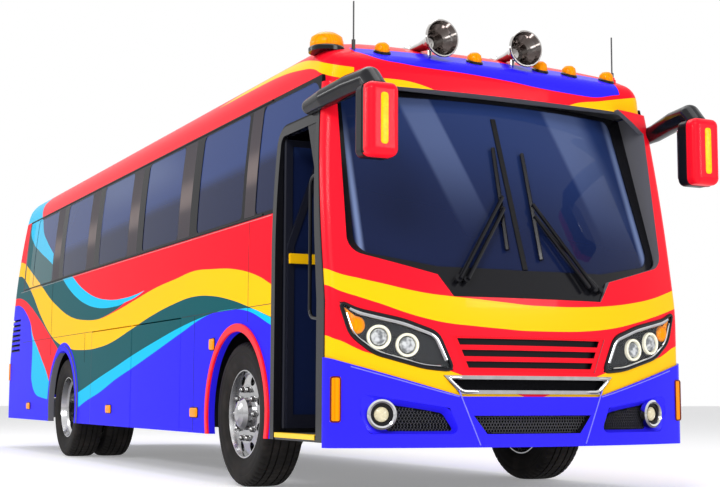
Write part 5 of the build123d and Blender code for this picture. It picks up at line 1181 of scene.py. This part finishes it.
# ---- seats ----
# Foam pads in woven blue cloth with a headrest roll, two places to a bench, sewn in channels.
# They stand on painted steel pedestals that are bolted to the floor.
def cushion(shape, low, high, lean=0.0, channels=2):
    """A crowned pad that fills a box, its sides drawn in and its face sewn in channels."""
    low, high = Vector(low), Vector(high)
    middle, half = (low + high) / 2, (high - low) / 2
    pad = bmesh.new()
    bmesh.ops.create_cube(pad, size=2.0)
    bmesh.ops.subdivide_edges(pad, edges=pad.edges, cuts=7, use_grid_fill=True)
    thin = min(range(3), key=lambda i: half[i])
    for vert in pad.verts:
        co = vert.co.copy()
        others = [i for i in range(3) if i != thin]
        edge = max(abs(co[i]) for i in others)
        crown = 1.0 - 0.32 * edge ** 4
        groove = min(abs(co[0] - (2 * k / (channels + 1) - 1)) for k in range(1, channels + 1))
        crown -= 0.10 * math.exp(-(groove / 0.07) ** 2) * (abs(co[thin]) > 0.99)
        new = co.copy()
        new[thin] = co[thin] * crown
        for i in others:
            new[i] = co[i] * (1.0 - 0.035 * co[thin] ** 2 - 0.02 * (1 - abs(co[others[1 - others.index(i)]])))
        place = Vector([middle[i] + half[i] * new[i] for i in range(3)])
        place.y += lean * (place.z - low.z)
        vert.co = place
    pour(pad, shape)


cloth, shader, place, (x, y, z) = material("seat_cloth", (0.02, 0.03, 0.11), 0.9)
THREADS = 900.0
warp = (x + z * 0.3).maths("MULTIPLY", THREADS).maths("SINE")
weave = warp * (y + z).maths("MULTIPLY", THREADS).maths("SINE")
woven = place.flat((0.012, 0.020, 0.075)).over((0.05, 0.07, 0.22), weave.rise(-0.4, 1.0) * 0.6)
woven.into(shader, "Base Color")
bump(shader, weave, 0.3, 0.0008)
pads, frames = bmesh.new(), bmesh.new()
ROWS, ROW_PITCH, ROW_FIRST = 9, 0.78, -3.095
rows = [(side * 0.2647, side * 1.1447, ROW_FIRST + ROW_PITCH * i) for i in range(ROWS) for side in (-1, 1)]
drivers_seat = (0.38, 0.86, -3.725)
for inner, outer, y0 in rows + [drivers_seat]:
    left, right = sorted((inner, outer))
    places = 2 if right - left > 0.6 else 1
    wide = (right - left) / places
    for k in range(places):
        a, b = left + wide * k + 0.006, left + wide * (k + 1) - 0.006
        cushion(pads, (a, y0 + 0.004, 1.498), (b, y0 + 0.43, 1.578))
        cushion(pads, (a, y0 + 0.415, 1.56), (b, y0 + 0.505, 2.03), 0.155)
        cushion(pads, (a + 0.05, y0 + 0.492, 2.035), (b - 0.05, y0 + 0.572, 2.205), 0.05, 1)
    for a in (left + 0.1, right - 0.14):
        ring_loops(frames, [[(a, y0 + 0.2, z0), (a + 0.04, y0 + 0.2, z0), (a + 0.04, y0 + 0.34, z0),
                             (a, y0 + 0.34, z0)] for z0 in (1.1, 1.13, 1.495)])
padded = piece("seat_pads", pads, cloth)
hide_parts("seats")
frame_paint = grained("seat_frame", (0.03, 0.03, 0.035), 0.4, 60.0)
piece("seat_frames", frames, frame_paint)


# ---- dashboard, floor and steps ----
# A grained black plastic dashboard on the front bulkhead.
# The floor and the steps are plywood under studded grey rubber.
dress(grained("dash_plastic", (0.03, 0.03, 0.034), 0.6, 300.0, height=0.3), "dashboard")
dress(grained("floor_rubber", (0.035, 0.036, 0.04), 0.7, 120.0, height=0.3), "floor_deck", "entry_steps")


# ---- chassis, axles and engine ----
# Rails, crossmembers, axles and wheel housings of welded steel in black paint, dulled by dust.
# The engine is a bare iron casting on the rails.
under = grained("underbody", (0.009, 0.009, 0.010), 0.6, 12.0, spread=0.2, gloss=0.12)
dress(under, "chassis_rails", "chassis_crossings", "front_axle", "rear_axle", "knuckle_left", "knuckle_right",
      "tie_rod", "wheel_housings", "luggage_lockers")
dress(grained("engine_cast", (0.10, 0.105, 0.11), 0.7, 35.0, height=0.4), "engine")


# ---- ground ----
# The studio floor is a smooth pale board, laid flat under the tyres.
# It glows faintly, so that it stays light where the bus shades it.
ground, shader, place, _ = material("ground", (0.90, 0.90, 0.91), 0.8, gloss=0.1, glow=0.3)
(0.75 + place.noise(0.6) * 0.1).into(shader, "Roughness")
floor_mesh.materials.append(ground)
